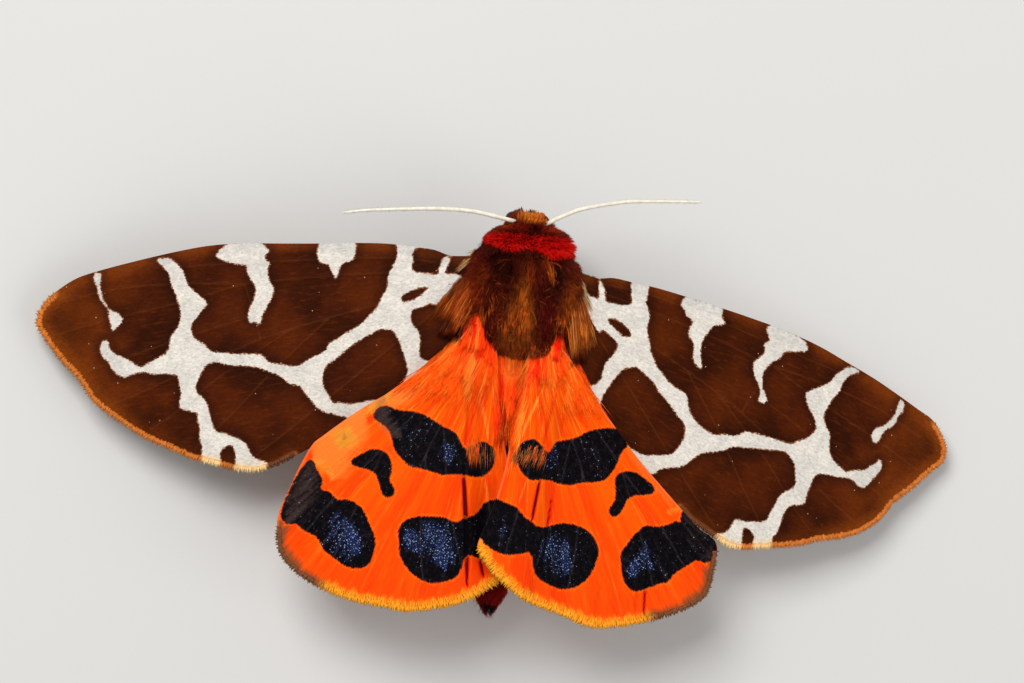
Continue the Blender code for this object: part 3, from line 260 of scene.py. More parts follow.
HIND_RIGHT_SPOTS = (
    ((7.0, -0.9), (6.5, -1.6), (6.06, -2.4), (5.94, -3.1), (5.5, -4.0), (5.1, -4.75), (5.25, -5.6),
     (4.0, -5.75), (3.56, -6.25), (3.56, -7.0), (4.1, -7.6), (5.0, -7.9), (5.8, -7.8), (6.4, -7.1),
     (7.0, -6.6), (7.75, -6.1), (8.2, -5.6), (8.5, -5.0), (9.0, -4.4), (9.4, -3.75), (9.44, -3.25),
     (9.3, -2.5), (9.0, -1.9), (8.75, -1.4), (8.6, -0.5), (7.8, -0.3)),
    ((9.9, -2.9), (9.85, -2.4), (10.2, -1.8), (10.85, -1.4), (11.7, -1.22), (12.25, -1.14),
     (12.45, -1.5), (12.1, -2.08), (11.7, -2.6), (11.62, -3.25), (11.88, -3.83), (12.0, -4.37),
     (11.85, -4.78), (11.35, -4.75), (11.2, -4.34), (11.05, -3.85), (10.6, -3.45)),
    ((18.25, -0.1), (18.9, -0.6), (19.0, -1.25), (18.6, -1.75), (18.25, -2.0), (18.1, -2.6),
     (18.0, -3.25), (17.9, -3.9), (18.06, -4.5), (17.75, -5.1), (17.5, -5.75), (17.25, -6.4),
     (16.9, -6.9), (16.1, -7.0), (15.5, -6.8), (14.9, -6.4), (14.25, -5.9), (14.06, -5.1), (13.9, -4.5),
     (13.9, -3.4), (14.4, -2.9), (14.75, -2.4), (15.0, -1.9), (15.1, -1.4), (15.4, -1.25),
     (15.0, -0.75), (14.9, -0.2), (16.5, 0.2)),
    ((9.25, -9.0), (9.6, -8.25), (10.1, -7.6), (10.75, -7.1), (11.5, -6.8), (12.25, -6.8), (12.9, -7.0),
     (13.4, -7.5), (13.75, -8.1), (14.0, -8.75), (14.0, -9.5), (13.75, -10.25), (13.25, -10.9),
     (12.5, -11.3), (11.6, -11.6), (10.75, -11.4), (10.1, -11.06), (9.67, -11.06), (9.5, -11.4),
     (9.0, -12.1), (8.56, -12.56), (7.9, -12.9), (7.0, -13.1), (6.3, -12.8), (5.5, -11.4), (5.0, -10.7),
     (5.3, -10.5), (6.1, -10.1), (6.67, -9.8), (7.4, -9.8), (8.2, -9.6), (8.8, -9.4)))

# Strokes along the hindwings, by what they paint: points, half width and strength.
# red is painted shade in the pleats, the folds and under an overlapping edge; gold is partly pale
# veins and partly painted highlight on fold crests and edges; blue is painted sheen and glints in the spots.
LEFT_STROKES = {
    "red": (
        (((0.6, -0.9), (2.6, -2.9), (4.6, -4.9), (5.9, -6.1), (7.0, -7.3)), 0.2, 0.6),
        (((6.6, -6.8), (7.0, -7.3), (9.5, -10.4), (12.0, -13.3)), 0.27, 1.25),
        (((9.8, -12.0), (10.8, -13.7)), 0.2, 1.1), (((7.6, -8.0), (9.0, -9.4)), 0.3, 0.3),
        (((14.0, -9.0), (16.3, -11.3)), 0.5, 0.3), (((2.0, -6.0), (3.4, -7.4)), 0.4, 0.5),
        (((1.0, -0.6), (3.6, -1.6), (6.0, -3.0)), 0.18, 0.4), (((0.8, -3.6), (2.6, -6.0)), 0.35, 0.45),
        (((5.4, -8.8), (7.4, -11.0)), 0.45, 0.45), (((11.5, -5.6), (14.5, -8.0)), 0.4, 0.18)),
    "gold": (
        (((1.0, -1.6), (2.4, -3.7), (3.4, -5.5), (4.3, -7.0)), 0.28, 0.9),
        (((6.0, -8.5), (7.4, -10.3)), 0.22, 0.8), (((1.2, -0.5), (4.6, -1.0), (7.6, -1.8)), 0.3, 0.4),
        (((0.4, -2.6), (2.0, -5.0)), 0.2, 0.6), (((2.6, -2.0), (4.2, -3.6)), 0.2, 0.4)),
    "worn": (
        (((7.5, 0.6), (8.4, -0.2), (8.7, -1.2), (8.5, -2.4)), 0.8, 0.95),
        (((14.4, 0.3), (16.4, -0.9), (18.4, -1.7)), 1.3, 0.75),
        (((11.3, 0.35), (11.5, 0.2), (11.7, 0.05)), 0.32, 0.85)),
    "pale": (
        (((9.4, 0.7), (11.4, 0.5), (14.0, 0.2)), 2.1, 1.2), (((12.0, -0.6), (14.0, -1.4)), 1.3, 0.8),
        (((4.0, -0.5), (6.5, -0.2), (8.8, 0.5)), 1.0, 1.1)),
    "sallow": (
        (((10.9, 0.4), (11.5, 0.15), (12.1, -0.1)), 1.3, 0.95),
        (((7.0, 0.3), (8.0, 0.5), (9.2, 0.4)), 0.5, 0.8),
        (((14.2, 0.4), (13.9, -0.4), (13.9, -1.4)), 0.5, 0.6)),
    "blue": (
        (((10.9, -8.8), (11.9, -10.4), (12.2, -11.3)), 0.95, 1.1), (((12.5, -7.5), (12.9, -9.2)), 1.0, 0.95),
        (((11.2, -8.0), (11.6, -11.3)), 1.7, 0.85), (((6.4, -4.7), (7.2, -6.0)), 0.8, 0.75),
        (((7.9, -1.9), (8.1, -2.8)), 0.6, 0.35), (((15.3, -4.1), (16.2, -6.5)), 0.85, 1.15),
        (((15.4, -3.5), (16.9, -6.4)), 1.5, 0.65))}
# The right hindwing's strokes, of the same kinds: red painted shade, gold partly painted highlight, blue
# painted glints.
RIGHT_STROKES = {
    "red": (
        (((1.0, -1.2), (2.3, -2.5), (4.0, -4.8), (5.2, -6.2), (6.3, -7.3)), 0.2, 0.6),
        (((6.1, -7.0), (8.3, -9.7)), 0.2, 1.15), (((8.5, -9.8), (9.8, -11.1)), 0.35, 0.5),
        (((8.0, -7.4), (11.9, -11.6)), 0.17, 1.0), (((7.4, -6.6), (9.4, -8.7)), 0.28, 0.5),
        (((15.6, -4.6), (17.9, -6.6), (19.3, -7.9)), 0.17, 1.0), (((17.0, -6.6), (18.2, -7.8)), 0.35, 0.4),
        (((15.0, -8.4), (16.3, -10.0)), 0.4, 0.3), (((0.8, -0.6), (3.2, -1.2), (5.6, -2.6)), 0.18, 0.4),
        (((3.4, -2.4), (5.2, -4.2)), 0.14, 0.5), (((9.6, -4.6), (11.6, -6.4)), 0.3, 0.25),
        (((12.6, -11.6), (13.4, -12.4)), 0.4, 0.25)),
    "gold": (
        (((1.4, -2.8), (2.4, -5.0), (3.4, -7.0), (4.6, -9.0)), 0.26, 0.9),
        (((5.5, -7.8), (6.7, -9.7)), 0.16, 0.8), (((1.4, -0.9), (4.6, -1.7), (6.2, -2.3)), 0.3, 0.4),
        (((2.4, -3.4), (4.2, -5.6)), 0.2, 0.5), (((1.8, -1.8), (4.6, -4.2)), 0.2, 0.35)),
    "worn": ((((18.3, -0.6), (18.8, -1.4)), 0.7, 0.6), (((15.0, -0.6), (18.0, -1.0)), 0.9, 0.4)),
    "pale": ((((9.0, -1.1), (14.6, -1.0)), 0.35, 0.5),),
    "sallow": ((((14.6, -0.6), (14.2, -1.6)), 0.35, 0.5),),
    "blue": (
        (((10.9, -8.4), (11.5, -9.2), (12.8, -9.8)), 0.65, 1.1), (((9.9, -9.3), (11.0, -10.5)), 0.8, 0.85),
        (((10.2, -8.7), (12.6, -10.1)), 1.7, 0.6), (((5.2, -4.9), (6.2, -6.4)), 0.8, 0.5),
        (((7.2, -11.2), (7.5, -11.9)), 0.8, 0.4), (((15.3, -5.3), (16.1, -6.4)), 0.6, 1.1),
        (((14.7, -4.0), (15.5, -4.5), (16.7, -4.85)), 0.16, 1.6),
        (((14.9, -4.5), (15.8, -5.0), (16.4, -5.3)), 0.14, 1.3), (((15.0, -4.4), (16.3, -5.4)), 1.3, 0.5))}

# Where the fringe starts and ends on each outline
FORE_LEFT_FRINGE = ((28.8, 2.0), (13.0, -11.3), (17.3, -11.85))
FORE_RIGHT_FRINGE = ((28.8, 2.1), (13.0, -11.3), (18.6, -12.1))
HIND_LEFT_FRINGE = ((19.2, -1.4), (7.5, -14.0), (9.0, -14.6))
HIND_RIGHT_FRINGE = ((18.8, -0.4), (7.0, -13.55), (8.6, -14.0))

# Body stations: y, centre z, half width, height above and below the centre
BODY_X = 0.15
SKIN_STATIONS = (
    (5.5, 6.15, 0.4, 0.4, 0.5), (5.35, 6.2, 0.75, 0.7, 0.9), (5.15, 6.35, 1.0, 1.05, 1.35),
    (4.9, 6.45, 1.2, 1.3, 1.6), (4.6, 6.5, 1.35, 1.35, 1.65), (4.35, 6.6, 1.35, 1.2, 1.5),
    (4.1, 6.8, 1.55, 1.2, 1.6), (3.75, 7.0, 2.15, 1.45, 1.9), (3.35, 7.1, 2.6, 1.7, 2.1),
    (2.85, 7.1, 2.7, 1.8, 2.2), (2.5, 7.0, 2.75, 1.9, 2.4), (1.9, 6.9, 3.2, 2.45, 3.15),
    (0.6, 6.8, 3.7, 3.0, 3.75), (-0.9, 6.8, 3.75, 3.15, 3.85), (-2.2, 6.8, 3.4, 3.15, 3.65),
    (-3.4, 6.7, 2.8, 2.85, 3.25), (-4.25, 6.4, 2.1, 2.3, 2.8), (-4.6, 6.0, 1.9, 1.85, 2.1),
    (-5.6, 5.65, 2.35, 2.0, 2.15), (-8.0, 5.4, 2.7, 2.2, 2.3), (-11.0, 5.3, 2.75, 2.25, 2.3),
    (-14.0, 5.2, 2.45, 2.05, 2.05), (-16.8, 5.1, 2.0, 1.7, 1.7), (-19.2, 5.0, 1.45, 1.3, 1.3),
    (-21.0, 4.9, 0.9, 0.85, 0.85), (-22.0, 4.85, 0.35, 0.35, 0.35))
ABDOMEN_START, ABDOMEN_END, ABDOMEN_LEAN = -4.55, -22.1, 0.45
ABDOMEN_RINGS, RING_SWELL = 8, 0.035
FULLNESS = 2.4                          # 2 makes a round section, more a squarer one

# Middle lines of the feelers
ANTENNAS = {
    "left": ((-0.55, 4.75, 7.1), (-1.1, 4.75, 7.65), (-2.1, 4.88, 7.9), (-4.0, 5.08, 8.1),
             (-6.2, 5.0, 8.2), (-8.5, 4.72, 8.2), (-11.2, 4.33, 8.0), (-13.0, 3.95, 7.8)),
    "right": ((0.85, 4.7, 7.1), (1.35, 4.85, 7.65), (2.15, 5.35, 7.9), (3.7, 6.15, 8.1),
              (6.5, 6.95, 8.2), (8.5, 7.23, 8.2), (11.0, 7.5, 8.0), (12.0, 7.6, 7.9))}
TONGUE_PLACE, TONGUE_RADIUS, TONGUE_TURNS = (5.2, 4.75), 0.27, 2.2
PALP = ((0.4, 4.95, 5.0), (0.47, 5.25, 4.65), (0.43, 5.45, 4.8))

LEGS = {
    "fore": ((1.5, 1.2, 4.4), (2.5, 1.5, 3.1), (5.3, 1.3, 5.0), (8.0, 0.4, 1.4), (8.5, 0.2, 0.18),
             (10.4, -0.4, 0.13)),
    "mid": ((1.6, -0.9, 4.2), (2.7, -1.1, 2.9), (6.2, -2.4, 5.0), (9.5, -4.2, 1.4), (10.0, -4.5, 0.18),
            (12.0, -5.7, 0.13)),
    "hind": ((1.5, -2.7, 4.4), (2.5, -3.5, 3.1), (4.7, -7.2, 4.7), (7.5, -12.3, 1.4), (7.8, -12.9, 0.18),
             (8.8, -15.3, 0.13))}

# Sizes of the finish, in millimetres, and shares of them
GRID_STEP, GRID_ROW = 0.16, 0.87         # spacing of a wing's points, and of its rows in steps
MEMBRANE_HALF, RIM_SHARE, RIM_WIDTH = 0.08, 0.35, 0.6
VEIN_HALF, VEIN_RISE, RED_SINK, GOLD_RISE = 0.22, 0.05, 0.1, 0.05
RAY_START = (-2.0, -1.0)                # where the hindwings' rays meet
FRINGE_SHOWN, FRINGE_HELD, FRINGE_STEP, TOOTH = 0.25, 0.07, 0.05, 0.3
FORE_FRINGE_ROOT, HIND_FRINGE_ROOT = 0.16, 0.5
FORE_FRINGE_TAN, FORE_FRINGE_BROWN, FORE_FRINGE_CREAM = (208, 128, 56), (118, 74, 50), (246, 216, 158)
HIND_FRINGE_GOLD, HIND_FRINGE_BROWN = (250, 172, 44), (128, 84, 56)
STRAND_SHARES, STRAND_THICK = (0.0, 0.36, 0.72, 1.0), (0.8, 1.0, 0.62)
SKIN_STEP, SKIN_TURN = 0.16, 5.0
HAIR_FLOOR = 0.05                       # hair stays this far above the floor
TUFT_HAIRS, APRON_HAIRS = 3200, 2800
HAIR_SINK = 0.12                        # how far a hair's root is sunk into the skin
RAY_TOP, BESIDE_WINGS = 30.0, 7.0       # start of a look down, and the height where it finds nothing
FEELER_RADIUS, FEELER_THINNING, FEELER_SEGMENTS, FEELER_SOCKET = 0.155, 0.075, 56, 0.24
EYE_DETAIL = 5
# Places of the strands in the map for baking: size of a patch, then the first value and the span
BAKE_PATCH = 0.003
BAKE_BODY, BAKE_WING, BAKE_LAID = (-24, 32), (-15, 50), (-20, 40)


def rgb(red, green, blue):
    """A linear colour from screen values of 0 to 255."""
    levels = np.array((red, green, blue)) / 255
    return np.where(levels <= 0.04045, levels / 12.92, ((levels + 0.055) / 1.055) ** 2.4)


def drawn(low, high, size):
    """Random numbers between two values, in either order."""
    return low + (high - low) * rng.random(size)


def unit(vectors):
    """Directions of length 1."""
    return vectors / np.maximum(np.linalg.norm(vectors, axis=-1, keepdims=True), 1e-9)


def smoothstep(t):
    t = np.clip(t, 0.0, 1.0)
    return t * t * (3 - 2 * t)


def smooth_line(points, step, closed=False):
    """A curve through the points, with a new point about every step."""
    points = np.asarray(points, float)
    if closed:
        padded = np.vstack((points[-1:], points, points[:2]))
    else:
        padded = np.vstack((2 * points[:1] - points[1:2], points, 2 * points[-1:] - points[-2:-1]))
    pieces = []
    for a, b, c, d in zip(padded, padded[1:], padded[2:], padded[3:]):
        count = max(1, math.ceil(np.linalg.norm(c - b) / step))
        t = (np.arange(count) / count)[:, None]
        pieces.append(0.5 * (2 * b + (c - a) * t + (2 * a - 5 * b + 4 * c - d) * t ** 2
                             + (3 * b - a - 3 * c + d) * t ** 3))
    if not closed:
        pieces.append(points[-1:])
    return np.vstack(pieces)


def distance_to(points, line):
    """Each point's distance to a line, and how far along it the nearest place is, 0 to 1."""
    nearest = np.full(len(points), 1e9)
    along = np.zeros(len(points))
    for i, (start, end) in enumerate(zip(line, line[1:])):
        step = end - start
        share = np.clip((points - start) @ step / max(step @ step, 1e-12), 0, 1)
        gap = np.linalg.norm(points - start - share[:, None] * step, axis=1)
        closer = gap < nearest
        nearest[closer] = gap[closer]
        along[closer] = i + share[closer]
    return nearest, along / (len(line) - 1)


def depth_in(points, loop):
    """How far each point lies inside a closed loop, negative outside it."""
    within = np.zeros(len(points), bool)
    for start, end in zip(loop, np.roll(loop, -1, axis=0)):
        if start[1] == end[1]:
            continue
        crosses = (start[1] > points[:, 1]) != (end[1] > points[:, 1])
        at = start[0] + (points[:, 1] - start[1]) / (end[1] - start[1]) * (end[0] - start[0])
        within ^= crosses & (points[:, 0] < at)
    gap, _ = distance_to(points, np.vstack((loop, loop[:1])))
    return np.where(within, gap, -gap)


def mesh_object(name, points, triangles, material, attributes=None, bake_map=None):
    """A smooth object from points in millimetres, with values kept on its points."""
    mesh = bpy.data.meshes.new(name)
    points = (np.asarray(points, float) + PLACE) * MM
    corners = np.asarray(triangles, np.int32)
    mesh.vertices.add(len(points))
    mesh.vertices.foreach_set("co", points.astype(np.float32).ravel())
    mesh.loops.add(corners.size)
    mesh.loops.foreach_set("vertex_index", corners.ravel())
    mesh.polygons.add(len(corners))
    mesh.polygons.foreach_set("loop_start", np.arange(0, corners.size, 3, dtype=np.int32))
    mesh.update(calc_edges=True)
    mesh.shade_smooth()
    for label, values in (attributes or {}).items():
        kind, field = {1: ("FLOAT", "value"), 3: ("FLOAT_VECTOR", "vector"),
                       4: ("FLOAT_COLOR", "color")}[values.shape[1] if values.ndim == 2 else 1]
        mesh.attributes.new(label, kind, "POINT").data.foreach_set(
            field, values.astype(np.float32).ravel())
    if bake_map is not None:
        layer = mesh.uv_layers.new(name="OFBake")
        layer.data.foreach_set("uv", bake_map[corners.ravel()].astype(np.float32).ravel())
    mesh.materials.append(material)
    made = bpy.data.objects.new(name, mesh)
    bpy.context.collection.objects.link(made)
    return made


def finish_piece(made, slot, *nodes):
    """Says what carries the piece and which nodes it replaces; slot is not used."""
    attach(made, "root")
    if nodes:
        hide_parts(*nodes)
    return made


class Paint:
    """Short names for one material's shader nodes; colours are screen values of 0 to 255."""

    def __init__(self, name, roughness, **constants):
        self.material = bpy.data.materials.new(name)
        self.material.use_nodes = True
        self.tree = self.material.node_tree
        self.surface = self.tree.nodes["Principled BSDF"]
        self.surface.inputs["Roughness"].default_value = roughness
        for label, value in constants.items():
            self.surface.inputs[label.replace("_", " ")].default_value = value

    def node(self, kind, inputs=(), **settings):
        made = self.tree.nodes.new("ShaderNode" + kind)
        for label, value in settings.items():
            setattr(made, label, value)
        for socket, value in inputs:
            self.put(value, made.inputs[socket])
        return made

    def put(self, value, socket):
        if isinstance(value, bpy.types.NodeSocket):
            self.tree.links.new(value, socket)
        else:
            socket.default_value = (*rgb(*value), 1.0) if socket.type == "RGBA" else value

    def read(self, name, output="Fac"):
        return self.node("Attribute", attribute_name=name).outputs[output]

    def where(self):
        return self.node("TexCoord").outputs["Object"]

    def calc(self, operation, a, b):
        return self.node("Math", ((0, a), (1, b)), operation=operation).outputs[0]

    def plus(self, a, b):
        return self.calc("ADD", a, b)

    def times(self, a, b):
        return self.calc("MULTIPLY", a, b)

    def centred(self, value):
        return self.calc("SUBTRACT", value, 0.5)

    def step(self, value, low, high, bottom=0.0, top=1.0):
        """A smooth climb from bottom to top as the value goes from low to high."""
        made = self.node("MapRange", ((0, value), (1, low), (2, high), (3, bottom), (4, top)),
                         interpolation_type="SMOOTHSTEP")
        return made.outputs[0]

    def stretch(self, vector, x, y):
        return self.node("VectorMath", ((0, vector), (1, (x, y, 1.0))), operation="MULTIPLY").outputs[0]

    def noise(self, vector, scale=1.0, detail=2.0, roughness=0.5):
        """Soft noise from about 0 to 1 with its middle at 0.5."""
        made = self.node("TexNoise", (("Vector", vector), ("Scale", scale), ("Detail", detail),
                                      ("Roughness", roughness)))
        return made.outputs["Fac"]

    def cells(self, vector, scale, feature="F1", output="Distance"):
        made = self.node("TexVoronoi", (("Vector", vector), ("Scale", scale)), feature=feature)
        return made.outputs[output]

    def lots(self, vector, scale, channel):
        """A random value for each cell."""
        colour = self.cells(vector, scale, output="Color")
        return self.node("SeparateColor", (("Color", colour),)).outputs[channel]

    def mix(self, share, a, b):
        return self.node("Mix", ((0, share), (6, a), (7, b)), data_type="RGBA").outputs[2]

    def over(self, base, colour, value, low, high, most=1.0):
        """The base, covered with the colour as the value goes from low to high."""
        return self.mix(self.step(value, low, high, 0.0, most), base, colour)

    def shade(self, colour, share, amount):
        """The colour made darker or lighter by the share, up to the amount."""
        factor = self.plus(self.times(share, amount), 1.0)
        return self.node("VectorMath", ((0, colour), ("Scale", factor)), operation="SCALE").outputs[0]

    def bump(self, height, distance, strength):
        made = self.node("Bump", (("Height", height), ("Distance", distance * MM), ("Strength", strength)))
        self.put(made.outputs[0], self.surface.inputs["Normal"])

    def colour(self, value):
        self.put(value, self.surface.inputs["Base Color"])
        return self.material


def stray_scales(paint, plan, per_mm, size):
    """Single light scales: small dots, in some of the cells only."""
    near = paint.cells(plan, per_mm)
    lucky = paint.lots(plan, per_mm, 1)
    return paint.times(paint.step(near, size, 0.6 * size), paint.step(lucky, 0.55, 0.8, 0.0, 0.9))


def speckled(paint, plan, per_mm, size, glow):
    """Painted glints of single scales, rare outside the glow and close together within it."""
    near = paint.cells(plan, per_mm)
    chance = paint.plus(paint.lots(plan, per_mm, 0), paint.times(glow, 0.7))
    return paint.times(paint.step(near, size, 0.5 * size), paint.step(chance, 0.93, 1.13, 0.0, 0.85))


def forewing_material():
    """Brown and cream scales, each brightness in streaks and grains along the wing."""
    paint = Paint("forewing_scales", 0.6, Specular_IOR_Level=0.03)
    plan = paint.read("plan", "Vector")
    margin, warm_and_shade, side = paint.read("margin"), paint.read("warm_and_shade"), paint.read("side")
    jitter = paint.centred(paint.noise(plan, 4.5, 3.0, 0.7))
    teeth = paint.centred(paint.noise(paint.stretch(plan, 5.0, 11.0), 1.0, 2.0, 0.6))
    mark = paint.plus(paint.read("mark"), paint.times(jitter, 0.2))
    mark = paint.plus(mark, paint.times(teeth, 0.26))
    streaks = paint.noise(paint.stretch(plan, 1.0, 4.6), 1.0, 4.0, 0.65)
    rows = paint.noise(paint.stretch(plan, 3.4, 10.0), 1.0, 2.0, 0.6)
    broad = paint.noise(plan, 0.22)
    grain = paint.lots(paint.stretch(plan, 5.5, 9.0), 1.0, 0)
    brown = paint.mix(paint.step(broad, 0.35, 0.65), (50, 16, 3), (76, 27, 4))
    brown = paint.over(brown, (112, 48, 8), paint.plus(warm_and_shade, paint.centred(broad)), 0.0, 0.9)
    brown = paint.over(brown, (120, 52, 14), streaks, 0.48, 0.74, 0.28)
    brown = paint.over(brown, (140, 76, 34), paint.read("vein"), 0.5, 1.0, 0.14)
    brown = paint.over(brown, (36, 12, 6), mark, -0.9, -0.1, 0.5)
    edging = paint.times(paint.step(paint.plus(margin, jitter), 1.5, 0.2),
                         paint.step(warm_and_shade, 0.02, 0.4, 0.15, 0.6))
    brown = paint.mix(edging, brown, (140, 66, 14))
    brown = paint.over(brown, (188, 112, 52), margin, 0.5, 0.2, 0.6)
    brown = paint.mix(stray_scales(paint, plan, 1.7, 0.075), brown, (232, 190, 152))
    # Darker at the rear corner of the root.
    brown = paint.mix(paint.read("dark_root_corner"), brown, (38, 16, 14))
    cream = paint.mix(paint.step(paint.noise(plan, 0.7), 0.4, 0.62), (228, 220, 208), (216, 209, 199))
    cream = paint.over(cream, (186, 180, 174), rows, 0.5, 0.32, 0.4)
    cream = paint.over(cream, (140, 122, 108), rows, 0.68, 0.76, 0.6)
    # Cream greyer near the costa and the tip: painted shade.
    cream = paint.over(cream, (188, 186, 182), warm_and_shade, 0.1, 0.45, 0.45)
    cream = paint.over(cream, (240, 212, 160), margin, 1.0, 0.4, 0.45)
    blush = paint.times(paint.step(mark, -0.12, -0.04), paint.step(jitter, -0.12, 0.12, 0.1, 0.75))
    surface = paint.mix(blush, brown, (188, 118, 72))
    surface = paint.over(surface, cream, mark, -0.05, 0.03)
    surface = paint.over(surface, (190, 120, 70), side, 0.5, 0.4, 0.35)
    surface = paint.shade(surface, paint.centred(grain), 0.26)
    paint.bump(paint.plus(paint.times(grain, 0.5), streaks), 0.03, 0.4)
    return paint.colour(surface)


# Painted glints of single scales in the hindwings' spots: how many a millimetre, their size and colour
SHINE = ((7.0, 0.3, (172, 194, 226)), (5.2, 0.28, (96, 128, 200)), (8.3, 0.3, (118, 128, 140)))


def hindwing_material():
    """Orange scales combed along the rays, with velvet spots and their shining scales."""
    paint = Paint("hindwing_scales", 0.55, Specular_IOR_Level=0.03)
    plan, ray = paint.read("plan", "Vector"), paint.read("ray", "Vector")
    radius = paint.node("SeparateXYZ", (("Vector", ray),)).outputs[1]
    margin, red, side = paint.read("margin"), paint.read("red"), paint.read("side")
    jitter = paint.centred(paint.noise(plan, 4.0, 3.0, 0.7))
    combs = paint.noise(paint.stretch(ray, 0.85, 0.16), 1.0, 3.0, 0.6)
    wide = paint.noise(paint.stretch(ray, 0.16, 0.05))
    fine = paint.noise(paint.stretch(ray, 3.2, 0.9), 1.0, 2.0, 0.6)
    streak, grain = paint.centred(combs), paint.centred(fine)
    spot = paint.plus(paint.read("mark"), paint.times(jitter, 0.2))
    spot = paint.plus(spot, paint.times(grain, 0.34))

    def broken(label, by_streak, by_jitter):
        """A stroke's strength, broken up along the rays and in blotches."""
        mixed = paint.plus(paint.read(label), paint.times(streak, by_streak))
        return paint.plus(mixed, paint.times(jitter, by_jitter))

    near = paint.step(radius, 12.0, 3.0)
    body = paint.mix(paint.step(wide, 0.35, 0.68), (254, 92, 3), (250, 62, 3))
    light = paint.times(paint.step(combs, 0.52, 0.7), paint.plus(near, 0.25))
    dark = paint.times(paint.step(combs, 0.47, 0.3), paint.plus(near, 0.2))
    body = paint.mix(light, body, (255, 142, 30))
    body = paint.mix(dark, body, (246, 46, 6))
    # Gold strokes: partly pale veins, partly painted highlight on fold crests and the folded edges.
    body = paint.over(body, (255, 168, 60), broken("gold", 2.2, 0.4), 0.35, 1.25, 0.8)
    body = paint.over(body, (250, 134, 48), broken("pale", 0.8, 0.5), 0.1, 1.0, 0.8)
    body = paint.over(body, (228, 148, 42), broken("sallow", 0.5, 0.7), 0.0, 1.0, 0.85)
    body = paint.over(body, (255, 60, 6), margin, 3.2, 1.4, 0.4)
    body = paint.over(body, (150, 96, 64), broken("worn", 0.6, 0.8), 0.3, 1.0, 0.55)
    edging = paint.mix(paint.read("tan"), (255, 156, 32), (132, 76, 40))
    body = paint.over(body, edging, paint.plus(margin, paint.times(streak, 1.4)), 1.0, 0.35, 0.9)
    # Red strokes: painted shade in the pleats and folds and under an overlapping edge, darkest in their
    # middle.
    body = paint.over(body, (206, 18, 4), red, 0.1, 0.9)
    body = paint.over(body, (96, 6, 3), red, 0.65, 1.0)
    body = paint.over(body, (244, 34, 8), radius, 4.6, 1.6, 0.8)
    body = paint.over(body, (250, 130, 70), paint.read("rim"), 0.22, 0.05, 0.5)
    # Blue strokes: painted sheen in the spots, with painted glints of single scales below.
    glint = broken("blue", 1.6, 1.6)
    glow = paint.step(glint, 0.05, 1.0)
    velvet = paint.noise(plan, 2.4, 4.0, 0.75)
    black = paint.mix(paint.step(velvet, 0.42, 0.68), (6, 4, 7), (21, 16, 21))
    black = paint.over(black, (64, 48, 44), broken("worn", 2.0, 1.4), 0.1, 1.1, 0.85)
    lines = paint.times(paint.step(paint.read("vein"), 0.5, 1.0), paint.step(fine, 0.4, 0.65, 0.1, 0.6))
    black = paint.mix(paint.times(lines, 0.45), black, (96, 84, 88))
    black = paint.over(black, (32, 44, 88), glint, 0.2, 1.4, 0.75)
    for per_mm, size, shine in SHINE:
        black = paint.mix(speckled(paint, plan, per_mm, size, glow), black, shine)
    # The spots are darker in the red strokes too: painted shade of the folds.
    black = paint.over(black, (5, 3, 6), red, 0.3, 0.9)
    halo = paint.times(paint.step(spot, -0.26, -0.1), paint.step(jitter, -0.1, 0.12, 0.0, 0.5))
    surface = paint.mix(halo, body, (255, 122, 18))
    surface = paint.over(surface, (136, 40, 8), spot, -0.07, 0.0)
    surface = paint.over(surface, black, spot, -0.03, 0.05)
    surface = paint.over(surface, (250, 160, 70), side, 0.5, 0.4, 0.3)
    surface = paint.shade(surface, grain, 0.6)
    paint.bump(paint.plus(fine, combs), 0.05, 0.6)
    return paint.colour(surface)


def hair_material():
    """Hair takes its colour from the strand, a little broken up along it."""
    paint = Paint("hair", 0.55, Specular_IOR_Level=0.06)
    mottle = paint.centred(paint.noise(paint.where(), 2600.0))
    return paint.colour(paint.shade(paint.read("coat", "Color"), mottle, 0.5))


def skin_material():
    paint = Paint("skin", 0.7, Specular_IOR_Level=0.05)
    grain = paint.noise(paint.where(), 5200.0, 3.0, 0.6)
    paint.bump(grain, 0.06, 0.8)
    return paint.colour(paint.shade(paint.read("coat", "Color"), paint.centred(grain), 0.7))


def shell_material(name, light, dark, roughness):
    """Hard skin of feelers, feet and mouth, mottled between two colours."""
    paint = Paint(name, roughness, Specular_IOR_Level=0.45, Coat_Weight=0.1, Coat_Roughness=0.3)
    mottle = paint.noise(paint.where(), 2400.0, 3.0, 0.6)
    paint.bump(paint.noise(paint.where(), 7200.0), 0.02, 0.6)
    return paint.colour(paint.mix(paint.step(mottle, 0.38, 0.62), light, dark))


def eye_material():
    paint = Paint("eye_gloss", 0.2, Specular_IOR_Level=0.3)
    facets = paint.cells(paint.where(), 13000.0, "DISTANCE_TO_EDGE")
    paint.bump(paint.step(facets, 0.0, 0.12), 0.004, 0.3)
    mottle = paint.noise(paint.where(), 1500.0)
    return paint.colour(paint.mix(paint.step(mottle, 0.35, 0.7), (9, 7, 6), (28, 16, 10)))


hair = hair_material()


def wing_point(hinge, plan, height):
    """Points of a wing's own frame (out, forward, up) in the moth's space."""
    root, sweep, droop, side = hinge
    s, c = math.sin(math.radians(sweep)), math.cos(math.radians(sweep))
    sd, cd = math.sin(math.radians(droop)), math.cos(math.radians(droop))
    x, y = c * plan[:, 0] + s * plan[:, 1], c * plan[:, 1] - s * plan[:, 0]
    return np.stack((side * (cd * x + sd * height) + root[0], y + root[1], cd * height - sd * x + root[2]), 1)


def fore_lift(plan, fold):
    return FORE_CURL[1] * np.maximum(0, plan[:, 0] - FORE_CURL[0]) ** 2


